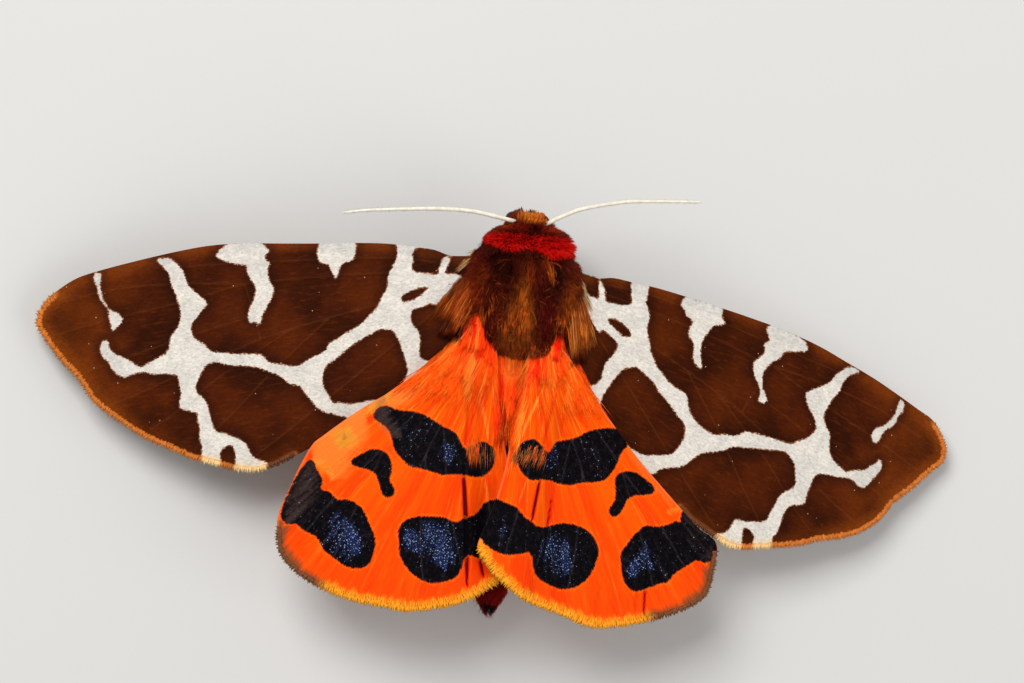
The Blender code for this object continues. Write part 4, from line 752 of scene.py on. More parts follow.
def hind_lift(plan, fold):
    start, end = np.array(fold[0]), np.array(fold[1])
    along = unit(end - start)
    past = plan - start
    reach = np.hypot(plan[:, 0], plan[:, 1])
    behind = past[:, 0] * along[1] - past[:, 1] * along[0]
    step = smoothstep(behind / FOLD_WIDTH) * smoothstep((reach - FOLD_START) / FOLD_RUN)
    return HIND_CURL[1] * np.maximum(0, reach - HIND_CURL[0]) ** 2 + fold[2] * step


def strength_of(plan, strokes):
    """How strongly each point lies on the strokes, which narrow to their ends."""
    found = np.zeros(len(plan))
    for points, half, strength in strokes:
        gap, along = distance_to(plan, smooth_line(points, 0.5))
        width = half * (1.0 - 0.75 * np.abs(2 * along - 1) ** 3)
        found = np.maximum(found, strength * (1 - smoothstep(gap / (1.35 * width))))
    return found


def depth_of(plan, loops):
    """The greatest depth of each point in any of the loops."""
    return np.max([depth_in(plan, smooth_line(loop, 0.3, closed=True)) for loop in loops], axis=0)


def inward_of(edge):
    """The direction into a closed, clockwise or anticlockwise outline at each point."""
    along = unit(np.roll(edge, -1, axis=0) - np.roll(edge, 1, axis=0))
    turned = np.stack((-along[:, 1], along[:, 0]), 1)
    area = np.sum(edge[:, 0] * np.roll(edge[:, 1], -1) - np.roll(edge[:, 0], -1) * edge[:, 1])
    return turned if area > 0 else -turned


def fringe_span(edge, ends):
    """The indices of an outline's points along the fringe, in order."""
    first, last, between = (int(np.argmin(np.linalg.norm(edge - np.array(p), axis=1))) for p in ends)
    count = len(edge)
    forward = (last - first) % count
    if (between - first) % count < forward:
        return (first + np.arange(forward + 1)) % count
    return (first - np.arange((first - last) % count + 1)) % count


def wing_sheet(name, hinge, outline, ends, veins, lift, fold, values, material, slot):
    """A wing's two faces and rim, thin at the edge, with raised veins and sunk folds."""
    edge = smooth_line(outline, GRID_STEP, closed=True)
    span = fringe_span(edge, ends)
    pull = np.zeros(len(edge))
    pull[span] = FRINGE_SHOWN * smoothstep(np.minimum(np.arange(len(span)), np.arange(len(span))[::-1]) / 8)
    tips = edge
    edge = edge + inward_of(edge) * pull[:, None]
    low, high = edge.min(0), edge.max(0)
    u, v = np.meshgrid(np.arange(low[0], high[0], GRID_STEP),
                       np.arange(low[1], high[1], GRID_STEP * GRID_ROW))
    u[1::2] += GRID_STEP / 2
    grid = np.stack((u.ravel(), v.ravel()), 1)
    grid = grid[depth_in(grid, edge) > 0.55 * GRID_STEP]
    points = [Vector(p) for p in np.vstack((edge, grid))]
    rim = [(i, (i + 1) % len(edge)) for i in range(len(edge))]
    flat, _, faces, _, _, _ = delaunay_2d_cdt(points, rim, [], 1, 1e-5)
    plan = np.array([tuple(p) for p in flat])
    faces = np.array(faces)
    count = len(plan)
    margin, _ = distance_to(plan, tips[span])
    inner, _ = distance_to(plan, np.vstack((edge, edge[:1])))
    vein = np.zeros(count)
    for line in veins:
        gap, _ = distance_to(plan, smooth_line(line, 0.8))
        vein = np.maximum(vein, 1 - smoothstep(gap / VEIN_HALF))
    kept = values(plan)
    relief = VEIN_RISE * vein - RED_SINK * kept.get("red", 0) + GOLD_RISE * kept.get("gold", 0)
    half = MEMBRANE_HALF * (RIM_SHARE + (1 - RIM_SHARE) * smoothstep(inner / RIM_WIDTH))
    middle = lift(plan, fold)
    top = wing_point(hinge, plan, middle + half + relief)
    under = wing_point(hinge, plan, middle - half + 0.8 * np.minimum(relief, 0) - 0.6 * np.maximum(relief, 0))
    keys = np.concatenate([faces[:, (k, (k + 1) % 3)] for k in range(3)])
    code = keys[:, 0] * count + keys[:, 1]
    open_edges = keys[~np.isin(code, keys[:, 1] * count + keys[:, 0])]
    a, b = open_edges[:, 0], open_edges[:, 1]
    walls = np.vstack((np.stack((b, a, a + count), 1), np.stack((b, a + count, b + count), 1)))
    triangles = np.vstack((faces, faces[:, ::-1] + count, walls))
    if hinge[3] < 0:
        triangles = triangles[:, ::-1]
    kept.update(margin=margin, rim=inner, vein=vein, plan=np.column_stack((plan, np.zeros(count))))
    attributes = {label: np.concatenate((value, value)) for label, value in kept.items()}
    attributes["side"] = np.repeat((1.0, 0.0), count)
    made = mesh_object(name + "_sheet", np.vstack((top, under)), triangles, material, attributes)
    return finish_piece(made, slot, name)


def strands(name, roots, middles, tips, ups, widths, colours, places, slot):
    """Hair as thin closed strands, each bent through a middle point to its tip."""
    count = len(roots)
    across = unit(np.cross(tips - roots, ups))
    upward = unit(np.cross(across, tips - roots))
    turns = np.radians((90, 210, 330))
    rings = []
    for t, thick in zip(STRAND_SHARES, STRAND_THICK):
        centre = (1 - t) ** 2 * roots + 2 * t * (1 - t) * middles + t * t * tips
        for turn in turns:
            offset = across * math.cos(turn) + upward * (0.7 * math.sin(turn))
            rings.append(centre + offset * (0.5 * thick * widths)[:, None])
    rings.append(tips)
    points = np.stack(rings, 1).reshape(-1, 3)
    shape = [(0, 1, 2)]
    for r in (0, 3):
        for k in range(3):
            n = (k + 1) % 3
            shape += [(r + k, r + 3 + n, r + n), (r + k, r + 3 + k, r + 3 + n)]
    shape += [(6 + k, 9, 6 + (k + 1) % 3) for k in range(3)]
    triangles = (np.arange(count)[:, None, None] * 10 + np.array(shape)[None]).reshape(-1, 3)
    shares = np.repeat(STRAND_SHARES, (3, 3, 3, 1))
    shade = blend(colours[0][:, None], colours[1][:, None], shares[None, :, None])
    shade = np.concatenate((shade, np.ones((count, 10, 1))), 2).reshape(-1, 4)
    corner = np.stack((np.array((0, 0.5, 1) * 3 + (0.5,)), shares), 1) - 0.5
    bake_map = (places[:, None] + BAKE_PATCH * corner[None]).reshape(-1, 2)
    made = mesh_object(name, points, triangles, hair, {"coat": shade}, bake_map)
    return finish_piece(made, slot)


def fringe(name, hinge, outline, ends, lift, fold, colour, slot, inside, narrow):
    """Two layers of fine scales standing out of a wing's edge, a little frayed."""
    edge = smooth_line(outline, FRINGE_STEP, closed=True)
    span = fringe_span(edge, ends)
    inward = inward_of(edge)[span]
    along = np.stack((-inward[:, 1], inward[:, 0]), 1)
    line, size = edge[span], len(span)
    roots, middles, tips, ups, places, plans = [], [], [], [], [], []
    for layer in (1, -1):
        reach = inside * (1 - 0.75 * narrow(line)) * drawn(0, 1, size) ** 1.5
        reach = (reach + FRINGE_SHOWN + FRINGE_HELD)[:, None]
        phase = np.arange(size) * FRINGE_STEP / TOOTH + np.cumsum(rng.normal(0, 0.05, size))
        fray = rng.normal(0, 0.04, (size, 1)) + 0.17 * np.abs(np.sin(np.pi * phase))[:, None] - 0.1
        lean = rng.normal(0, 0.06, (size, 1))
        tip = line - inward * (0.04 - fray) + along * lean
        root = line + inward * reach
        middle = 0.5 * (tip + root)
        base = layer * (MEMBRANE_HALF - 0.01)
        roots.append(wing_point(hinge, root, lift(root, fold) + base))
        middles.append(wing_point(hinge, middle, lift(middle, fold) + layer * (MEMBRANE_HALF + 0.02)))
        tips.append(wing_point(hinge, tip, lift(tip, fold) + layer * 0.02 + rng.normal(0, 0.03, size)))
        places.append((root - BAKE_WING[0]) / BAKE_WING[1])
        plans.append(root)
        ups.append(np.tile((0.0, 0.0, 1.0), (size, 1)))
    plan = np.vstack(plans)
    tone = colour(plan) * drawn(0.84, 1.1, (len(plan), 1))
    widths = drawn(0.1, 0.16, len(plan))
    strands(name, np.vstack(roots), np.vstack(middles), np.vstack(tips), np.vstack(ups), widths,
            (tone * (1.05, 0.84, 0.7), np.minimum(tone * 1.2, 1)), np.vstack(places), slot)


STATION_LINE = smooth_line(SKIN_STATIONS, 0.1)[::-1]


def skin(y, angle):
    """Points of the skin; the angle is in degrees from the top towards the moth's right."""
    centre, half, up, down = (np.interp(y, STATION_LINE[:, 0], STATION_LINE[:, k]) for k in (1, 2, 3, 4))
    behind = np.clip((ABDOMEN_START - y) / (ABDOMEN_START - ABDOMEN_END), 0, 1)
    sine, cosine = np.sin(np.radians(angle)), np.cos(np.radians(angle))
    grown = 1 + RING_SWELL * np.sin(2 * np.pi * ABDOMEN_RINGS * behind) * (behind > 0)
    across = half * np.sign(sine) * np.abs(sine) ** (2 / FULLNESS)
    rise = np.where(cosine > 0, up, down) * np.sign(cosine) * np.abs(cosine) ** (2 / FULLNESS)
    x, z = BODY_X + ABDOMEN_LEAN * behind ** 2 + grown * across, centre + grown * rise
    return np.stack((x, y + 0 * x, z), -1)


def skin_frame(y, angle):
    """Points of the skin with the directions out of it, back along it and round it."""
    back = unit(skin(y - 0.06, angle) - skin(y + 0.06, angle))
    round_it = unit(skin(y, angle + 1.5) - skin(y, angle - 1.5))
    out = unit(np.cross(back, round_it))
    return skin(y, angle), out, back, round_it


def bake_place(y, angle):
    return np.stack((np.mod(angle / 360 + 0.5, 1), (y - BAKE_BODY[0]) / BAKE_BODY[1]), 1)


# Colours of the coat: x, y, reach across and along, colour, share
TOP_PATCHES = (
    # The first patch darkens the front of the head at its sides: painted shade; the second is the orange tuft
    # on top.
    (0.1, 5.3, 1.9, 0.7, (72, 24, 10), 1.0), (0.2, 5.35, 0.85, 0.6, (184, 88, 38), 1.0),
    (0.3, 4.4, 2.9, 0.36, (138, 26, 12), 0.9),
    (-1.5, 4.4, 0.6, 0.3, (150, 60, 20), 0.7), (1.8, 4.5, 0.6, 0.3, (150, 52, 18), 0.7),
    (0.42, 4.32, 0.55, 0.36, (20, 4, 5), 1.0),
    (-2.2, 1.7, 0.8, 0.8, (34, 6, 5), 0.9), (-1.2, 1.2, 0.6, 0.9, (34, 8, 5), 0.8),
    (2.2, 1.2, 0.65, 1.4, (26, 5, 4), 0.95), (-0.9, 0.0, 0.35, 0.8, (42, 8, 5), 0.7),
    (-3.4, 1.7, 0.7, 0.7, (80, 12, 8), 0.8), (3.4, 1.6, 0.5, 0.9, (92, 22, 8), 0.8),
    (-2.8, 0.9, 0.35, 0.5, (160, 62, 16), 0.6), (1.5, 2.2, 0.35, 0.6, (168, 62, 18), 0.7),
    (0.25, 1.2, 0.4, 0.9, (126, 42, 12), 0.7), (-0.05, -0.6, 0.38, 1.4, (196, 98, 24), 0.9),
    (0.45, -2.1, 0.32, 1.1, (190, 96, 26), 0.85), (-0.8, -1.4, 0.3, 1.2, (148, 70, 20), 0.75),
    (-1.6, -1.2, 0.25, 1.2, (104, 38, 12), 0.5), (-0.3, -3.4, 1.2, 0.8, (146, 72, 22), 0.85),
    (0.3, -4.5, 1.1, 0.5, (170, 98, 44), 0.85), (-2.0, -3.2, 0.4, 1.2, (78, 8, 6), 0.8),
    (1.75, -1.8, 0.4, 1.6, (88, 14, 8), 0.7), (-3.4, -0.6, 0.7, 1.5, (146, 50, 14), 0.8),
    (3.4, -0.8, 0.7, 1.6, (156, 70, 18), 0.8))
COLLAR_RED = (242, 17, 10)
# Dark gaps in the collar's red: x, y, reach across and along, share
COLLAR_GAPS = ((0.42, 4.32, 0.5, 0.34, 1.0), (-2.55, 3.9, 0.6, 0.4, 0.8), (-3.2, 3.45, 0.65, 0.6, 0.9))
# Rear edge of the collar's red
COLLAR_EDGE_X = (-3.2, -2.5, -1.5, -0.8, -0.2, 0.4, 0.9, 1.5, 2.0, 2.6, 3.3)
COLLAR_EDGE_Y = (3.1, 2.95, 2.65, 2.6, 2.85, 2.9, 2.75, 2.5, 2.45, 2.6, 2.8)
TOP_END, TOP_FADE = 115, 25             # degrees from the top where its colours end, and their fade
COAT_BASE, UNDER_BASE, UNDER_FRONT, CHIN = (76, 18, 8), (104, 42, 18), (168, 34, 14), (78, 30, 14)
# TAIL_END darkens the end of the abdomen: painted shade under the hindwings.
TAIL_RED, TAIL_SIDE, TAIL_END, TAIL_BAR = (232, 62, 16), (160, 50, 20), (130, 14, 8), (16, 8, 10)


def blend(first, second, share):
    return first * (1 - share) + second * share


def blob(x, y, at_x, at_y, across, along):
    """A soft round hill of height 1 over one place."""
    return np.exp(-((x - at_x) / across) ** 2 - ((y - at_y) / along) ** 2)


def patched(tone, x, y, patches):
    """The colour with soft patches laid over it."""
    for px, py, across, along, colour, share in patches:
        near = share * blob(x, y, px, py, across, along)[:, None]
        tone = blend(tone, rgb(*colour), near)
    return tone


def plain(colour, count):
    """The same colour for each point."""
    return np.tile(rgb(*colour), (count, 1))


def coat_colour(points, y, angle):
    """The colour of the coat at points of the body, as linear red, green and blue."""
    x, count = points[:, 0], len(points)
    top = smoothstep((TOP_END - np.abs((angle + 180) % 360 - 180)) / TOP_FADE)[:, None]
    tone = patched(plain(COAT_BASE, count), x, y, TOP_PATCHES)
    low = np.interp(x, COLLAR_EDGE_X, COLLAR_EDGE_Y)
    red = (smoothstep((y - low) / 0.25 + 0.4) * smoothstep((4.02 - y) / 0.5))[:, None]
    for gap_x, gap_y, across, along, share in COLLAR_GAPS:
        red = red * (1 - share * blob(x, y, gap_x, gap_y, across, along)[:, None])
    bright = 0.7 + 0.55 * smoothstep((low + 0.85 - y) / 0.6)[:, None]
    tone = blend(tone, rgb(*COLLAR_RED) * bright, red)
    under = plain(UNDER_BASE, count)
    under += (rgb(*UNDER_FRONT) - under) * smoothstep((y - 2.0) / 1.0)[:, None]
    # Darker on the moth's left side, below the wings: painted shade.
    under = under * (1 - 0.7 * smoothstep((-x - 2.0) / 0.8)[:, None])
    under += (rgb(*CHIN) - under) * smoothstep((y - 4.2) / 0.4)[:, None]
    tone = blend(under, tone, top)
    behind = (ABDOMEN_START - y) / (ABDOMEN_START - ABDOMEN_END)
    rear = smoothstep((ABDOMEN_START - y) / 0.5)[:, None]
    phase = np.mod(behind * ABDOMEN_RINGS + 0.2, 1)
    bar = smoothstep((phase - 0.1) / 0.1) * smoothstep((0.62 - phase) / 0.1)
    bar = bar * smoothstep((52 - np.abs(angle)) / 10) * smoothstep((behind - 0.1) / 0.05)
    tail = plain(TAIL_RED, count)
    tail += (rgb(*TAIL_SIDE) - tail) * (1 - top)
    # Darker red towards the end of the abdomen: painted shade under the hindwings.
    tail += (rgb(*TAIL_END) - tail) * smoothstep((behind - 0.86) / 0.1)[:, None]
    tail += (rgb(*TAIL_BAR) - tail) * bar[:, None]
    return blend(tone, tail, rear)


def build_skin():
    """One closed skin for thorax, collar, head and abdomen, darker than the hair over it: painted shade
    between the hairs.
    """
    y = np.arange(SKIN_STATIONS[0][0], SKIN_STATIONS[-1][0] - 0.01, -SKIN_STEP)
    angle = np.arange(0, 360, SKIN_TURN)
    rows, columns = len(y), len(angle)
    flat_y, flat_angle = np.repeat(y, columns), np.tile(angle, rows)
    points = skin(flat_y, flat_angle)
    ends = np.stack((points[:columns].mean(0), points[-columns:].mean(0)))
    r, k = np.meshgrid(np.arange(rows - 1), np.arange(columns), indexing="ij")
    a, b = (r * columns + k).ravel(), (r * columns + (k + 1) % columns).ravel()
    k = np.arange(columns)
    n, last = (k + 1) % columns, (rows - 1) * columns
    front = np.stack((np.full(columns, len(points)), n, k), 1)
    rear = np.stack((np.full(columns, len(points) + 1), last + k, last + n), 1)
    triangles = np.vstack((np.stack((a, b, b + columns), 1), np.stack((a, b + columns, a + columns), 1),
                           front, rear))
    # Half the coat's colour: painted shade in the gaps between the hairs.
    tone = coat_colour(points, flat_y, flat_angle) * 0.5
    tone = np.vstack((tone, tone[:1], tone[-1:]))
    tone = np.column_stack((tone, np.ones(len(tone))))
    made = mesh_object("skin", np.vstack((points, ends)), triangles, skin_material(), {"coat": tone})
    finish_piece(made, "thorax", "thorax", "collar", "head", "abdomen")


def numbered(cells):
    """A number for the cell that each hair belongs to."""
    return np.unique(cells, axis=0, return_inverse=True)[1].ravel()


def gathered(points, index, share):
    """Points drawn towards the middle of the cell that each belongs to."""
    count = np.bincount(index)
    middle = np.stack([np.bincount(index, points[:, k]) / count for k in range(3)], 1)
    return points + (middle[index] - points) * share


# Lighter locks: their colour, and where they lie as x, y, reach across and along
GLEAM = (222, 94, 22)
GLEAM_AREAS = ((0.1, -1.2, 0.5, 1.8), (0.1, -3.6, 1.6, 0.8), (-3.2, -0.6, 0.9, 1.4), (3.3, -0.8, 0.9, 1.6),
               (0.15, 5.0, 1.0, 0.6), (1.5, 2.2, 0.4, 0.5), (-2.7, 0.9, 0.5, 0.6), (-0.9, -1.4, 0.5, 1.2))


def grow(name, count, y_range, angle_range, length, slot, stand, heading=0.0, lie=0.12, side=0.0,
         arch=0.35, width=0.055, clump=0.45, cell=0.35, wild=0.1, bias=0.0, gleam=0.0, vary=(0.6, 1.4),
         shade=(0.6, 1.6)):
    """Hair over a stretch of the skin, lying back along it, or forward where heading is 180.

    lie is the spread of directions, side turns them outwards, stand and arch lift the tip and
    the middle, clump draws the tips together in cells, wild is the share of stray hairs, bias
    makes the moth's right side longer and gleam is the share of lighter locks.
    """
    y = drawn(*y_range, count)
    angle = drawn(*angle_range, count)
    root, out, back, round_it = skin_frame(y, angle)
    outward = np.sin(np.radians(angle))
    clod = numbered(np.floor(np.stack((root[:, 0] / 0.5 + 40, y / 0.7), 1)))
    sway = rng.normal(0, 0.2, clod.max() + 1)[clod]
    turn = math.radians(heading) + rng.normal(0, lie, count) + sway + side * outward
    stray = rng.random(count) < wild * (1 - outward ** 2)
    turn[stray] += rng.normal(0, 0.8, stray.sum())
    lying = unit(back * np.cos(turn)[:, None] + round_it * np.sin(turn)[:, None])
    size = (length * (1 + bias * outward) * drawn(0.7, 1.15, count))[:, None]
    middle = root + (lying * 0.45 + out * arch) * size
    tip = root + (lying + out * (stand + rng.normal(0, 0.07, (count, 1)))) * size
    lock = numbered(np.floor(np.stack((root[:, 0] / cell, y / (1.6 * cell), angle // 60), 1)))
    tip = gathered(tip, lock, clump)
    tone = coat_colour(tip * 0.6 + root * 0.4, tip[:, 1] * 0.6 + y * 0.4, angle)
    locks = lock.max() + 1
    area = np.max([blob(root[:, 0], y, *hill) for hill in GLEAM_AREAS], axis=0)
    light = (drawn(0, 1, locks)[lock] * 0.6 + drawn(0, 0.4, count) < gleam * area)[:, None]
    tone = np.where(light, 0.25 * tone + 0.75 * rgb(*GLEAM), tone)
    tone = tone * drawn(*vary, (count, 1)) * drawn(0.75, 1.25, locks)[lock][:, None]
    # Colour scaled by shade from root to tip: the darker root is painted shade among the hair.
    strands(name, root - out * HAIR_SINK, middle, tip, out, width * drawn(0.7, 1.2, count),
            (tone * shade[0], np.minimum(tone * shade[1], 1)), bake_place(y, angle), slot)


def tube_frames(line):
    """Directions along a line and two across it, carried along without twist."""
    along = unit(np.gradient(line, axis=0))
    across = np.cross(along[0], (0.0, 0.0, 1.0))
    if np.linalg.norm(across) < 0.1:
        across = np.cross(along[0], (1.0, 0.0, 0.0))
    sides = []
    for direction in along:
        across = unit(across - direction * (across @ direction))
        sides.append(across)
    sides = np.array(sides)
    return along, sides, np.cross(sides, along)


def tube(line, radii, sides=14):
    """Points and triangles of a closed round tube."""
    _, across, up = tube_frames(line)
    turn = np.arange(sides) / sides * 2 * np.pi
    ring = across[:, None] * np.cos(turn)[None, :, None] + up[:, None] * np.sin(turn)[None, :, None]
    points = (line[:, None] + ring * np.asarray(radii)[:, None, None]).reshape(-1, 3)
    rows = len(line)
    r, k = np.meshgrid(np.arange(rows - 1), np.arange(sides), indexing="ij")
    a, b = (r * sides + k).ravel(), (r * sides + (k + 1) % sides).ravel()
    k = np.arange(sides)
    n, last = (k + 1) % sides, (rows - 1) * sides
    start = np.stack((np.full(sides, len(points)), k, n), 1)
    end = np.stack((np.full(sides, len(points) + 1), last + n, last + k), 1)
    walls = np.vstack((np.stack((a, a + sides, b), 1), np.stack((b, a + sides, b + sides), 1)))
    return np.vstack((points, line[:1], line[-1:])), np.vstack((walls, start, end))


def joined(parts):
    """Several shapes as one list of points and one of triangles."""
    points, triangles, first = [], [], 0
    for part_points, part_triangles in parts:
        points.append(part_points)
        triangles.append(part_triangles + first)
        first += len(part_points)
    return np.vstack(points), np.vstack(triangles)


def fuzz(name, line, radii, count, length, colour, slot, width=0.05, stand=0.35):
    """Short hair all round a tube, lying towards its end."""
    along, across, up = tube_frames(line)
    where = drawn(0, len(line) - 1.001, count)
    low = where.astype(int)
    share = (where - low)[:, None]
    turn = drawn(0, 2 * np.pi, count)[:, None]

    def between(values):
        return values[low] * (1 - share) + values[low + 1] * share

    out = unit(between(across) * np.cos(turn) + between(up) * np.sin(turn))
    ahead = unit(between(along) + rng.normal(0, 0.25, (count, 3)))
    root = between(line) + out * (between(np.asarray(radii, float)[:, None]) - 0.03)
    size = length * drawn(0.6, 1.2, (count, 1))
    middle = root + (ahead * 0.4 + out * stand) * size
    tip = root + (ahead + out * stand) * size
    middle[:, 2] = np.maximum(middle[:, 2], HAIR_FLOOR)
    tip[:, 2] = np.maximum(tip[:, 2], HAIR_FLOOR)
    tone = rgb(*colour)[None] * drawn(0.5, 1.5, (count, 1))
    places = np.column_stack((turn[:, 0] / (2 * np.pi), where / len(line)))
    # Darker at the root than at the tip: painted shade among the hair.
    strands(name, root, middle, tip, out, width * drawn(0.7, 1.2, count), (tone * 0.6, tone * 1.2),
            places, slot)


def ringed(line, radius, count, depth=0.12):
    """Radii that swell and narrow once for each of count segments along a line."""
    phase = np.linspace(0, count, len(line)) % 1
    return radius * (1 - depth * (2 * np.abs(phase - 0.5)) ** 4)


def build_antenna(name, points, material):
    """A feeler of many short segments with fine bristles below."""
    line = smooth_line(points, 0.07)
    share = np.linspace(0, 1, len(line))
    radii = ringed(line, FEELER_RADIUS - FEELER_THINNING * share ** 2, FEELER_SEGMENTS)
    radii[share < 0.035] = FEELER_SOCKET
    radii *= np.where(share > 0.985, 0.6, 1.0)
    made = mesh_object(name + "_shaft", *tube(line, radii, 12), material)
    finish_piece(made, "antenna", name)
    along, _, _ = tube_frames(line)
    rows = np.arange(8, len(line) - 2)
    count = 3 * len(rows)
    at = np.repeat(rows, 3)
    down = unit(np.stack((rng.normal(0, 0.3, count), rng.normal(0, 0.7, count), np.full(count, -1.0)), 1)
                + 0.5 * along[at])
    root = line[at] + down * 0.1
    tip = root + down * drawn(0.12, 0.26, (count, 1))
    tone = np.tile(rgb(214, 190, 150), (count, 1)) * drawn(0.6, 1.1, (count, 1))
    strands(name + "_bristles", root, 0.5 * (root + tip), tip, along[at], np.full(count, 0.03),
            (tone, tone), np.column_stack((share[at], np.full(count, 0.5))), "antenna")


def build_eye(name, material):
    low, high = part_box(name)
    centre, radius = (low + high) / 2, (high.z - low.z) / 2
    mesh = bpy.data.meshes.new(name + "_ball")
    made = bpy.data.objects.new(name + "_ball", mesh)
    bpy.context.collection.objects.link(made)
    shape = bmesh.new()
    bmesh.ops.create_icosphere(shape, subdivisions=EYE_DETAIL, radius=radius)
    shape.to_mesh(mesh)
    shape.free()
    mesh.shade_smooth()
    mesh.materials.append(material)
    made.location = centre
    finish_piece(made, "eye", name)


# Legs: radii at the joints of LEGS, and for hip, thigh and shin the swelling, the number of hairs,
# their length, how far they stand out and their colour
LEG_RADII = (0.5, 0.36, 0.24, 0.17, 0.15, 0.12)
LEG_PARTS = ((0.1, 300, 0.75, 0.5, (150, 32, 16)), (0.22, 700, 0.5, 0.45, (96, 46, 22)),
             (0.12, 520, 0.4, 0.3, (96, 46, 22)))
FORE_LEG_HAIR = 0.3                     # share of the hair's length on the forelegs
FOOT_HEIGHT, FOOT_HAIR = 0.155, (70, 44, 28)
CLAW_LENGTH, CLAW_START, CLAW_SPREAD, CLAW_RISE, CLAW_DROP = 0.42, 0.08, 0.18, 0.12, 0.13
# Spurs: how far down the shin each stands, and the side it points to
SPURS = {"fore": ((0.6, 1.0),), "mid": ((0.94, 1.0), (0.94, -1.0)),
         "hind": ((0.6, 1.0), (0.94, 1.0), (0.94, -1.0))}


def leg_line(name, side, first, last):
    """The middle line of a leg from one joint to another, smooth in the foot only."""
    points = [(BODY_X + side * x, y, z) for x, y, z in LEGS[name][first:last + 1]]
    line = smooth_line(points, 0.12) if first == 3 else np.vstack(
        [np.linspace(a, b, 24)[:23] for a, b in zip(points, points[1:])] + [points[-1:]])
    if last == 5:
        line[:, 2] = np.maximum(line[:, 2], FOOT_HEIGHT)
    return line


def swollen(start, end, count, swell):
    """Radii from start to end that are greater in the middle."""
    share = np.linspace(0, 1, count)
    return (start + (end - start) * share) * (1 + swell * np.sin(np.pi * share))


def build_leg(name, side, shell, claw):
    """Hip, thigh, shin with spurs and a ringed foot with two claws, furred down to the foot."""
    label = f"{name}leg_{'left' if side < 0 else 'right'}"
    parts, cover = [], []
    for k, (swell, *coat) in enumerate(LEG_PARTS):
        line = leg_line(name, side, k, k + 1)
        radii = swollen(LEG_RADII[k], LEG_RADII[k + 1], len(line), swell)
        parts.append(tube(line, radii))
        cover.append((line, radii, *coat))
    foot = leg_line(name, side, 3, 5)
    foot_radii = ringed(foot, np.linspace(LEG_RADII[3], LEG_RADII[5], len(foot)), 5, 0.3)
    parts.append(tube(foot, foot_radii))
    shin = leg_line(name, side, 2, 3)
    for share, turn in SPURS[name]:
        root = shin[int(share * (len(shin) - 1))]
        down = unit(shin[-1] - shin[0] + np.array((0.0, turn * 2.0, -1.0)))
        parts.append(tube(root + np.linspace(0, 0.75, 6)[:, None] * down, np.linspace(0.07, 0.015, 6), 8))
    made = mesh_object(label + "_limb", *joined(parts), shell)
    finish_piece(made, "leg", label)
    heading = unit(foot[-1] - foot[-6])
    sideways = np.cross(heading, (0.0, 0.0, 1.0))
    hooks = []
    for turn in (-1, 1):
        t = np.linspace(0, 1, 7)[:, None]
        rise = CLAW_RISE * np.sin(np.pi * t) - CLAW_DROP * t
        apart = sideways * turn * (CLAW_START + CLAW_SPREAD * t)
        line = foot[-1] + heading * CLAW_LENGTH * t + apart + np.array((0, 0, 1)) * rise
        hooks.append(tube(line, np.linspace(0.05, 0.012, 7), 8))
    finish_piece(mesh_object(label + "_claws", *joined(hooks), claw), "leg")
    for k, (line, radii, count, length, stand, colour) in enumerate(cover):
        length *= FORE_LEG_HAIR if name == "fore" else 1.0
        fuzz(f"{label}_hair_{k}", line, radii, count, length, colour, "leg", stand=stand)
    fuzz(f"{label}_hair_3", foot, foot_radii, 260, 0.3, FOOT_HAIR, "leg", width=0.035)


def build_mouth(shell):
    """Two furry palps and the short coiled tongue between them."""
    parts = []
    for side in (-1, 1):
        line = smooth_line([(BODY_X + side * x, y, z) for x, y, z in PALP], 0.08)
        radii = np.interp(np.linspace(0, 1, len(line)), (0, 0.5, 1), (0.2, 0.22, 0.1))
        parts.append(tube(line, radii))
        label = "left" if side < 0 else "right"
        fuzz(f"palp_hair_{label}", line, radii, 420, 0.34, (86, 34, 16), "head", stand=0.5)
    t = np.linspace(0, TONGUE_TURNS * 2 * np.pi, 60)
    spread = TONGUE_RADIUS - 0.01 * t
    y, z = TONGUE_PLACE[0] - spread * np.cos(t), TONGUE_PLACE[1] + spread * np.sin(t)
    coil = np.stack((BODY_X + 0 * t, y, z), 1)
    parts.append(tube(coil, np.linspace(0.06, 0.035, len(t)), 10))
    finish_piece(mesh_object("mouthparts", *joined(parts), shell), "head")


def height_finder(*objects):
    """A function that gives the height of the highest surface at points seen from above."""
    points, triangles, first = [], [], 0
    for made in objects:
        mesh = made.data
        co = np.empty(len(mesh.vertices) * 3, np.float32)
        mesh.vertices.foreach_get("co", co)
        corners = np.empty(len(mesh.loops), np.int32)
        mesh.loops.foreach_get("vertex_index", corners)
        points.append(co.reshape(-1, 3) / MM - PLACE)
        triangles.append(corners.reshape(-1, 3) + first)
        first += len(mesh.vertices)
    tree = BVHTree.FromPolygons(np.vstack(points).tolist(), np.vstack(triangles).tolist())
    down = Vector((0.0, 0.0, -1.0))

    def height(places):
        hits = [tree.ray_cast(Vector((x, y, RAY_TOP)), down)[0] for x, y in places]
        return np.array([BESIDE_WINGS if hit is None else hit.z for hit in hits])

    return height


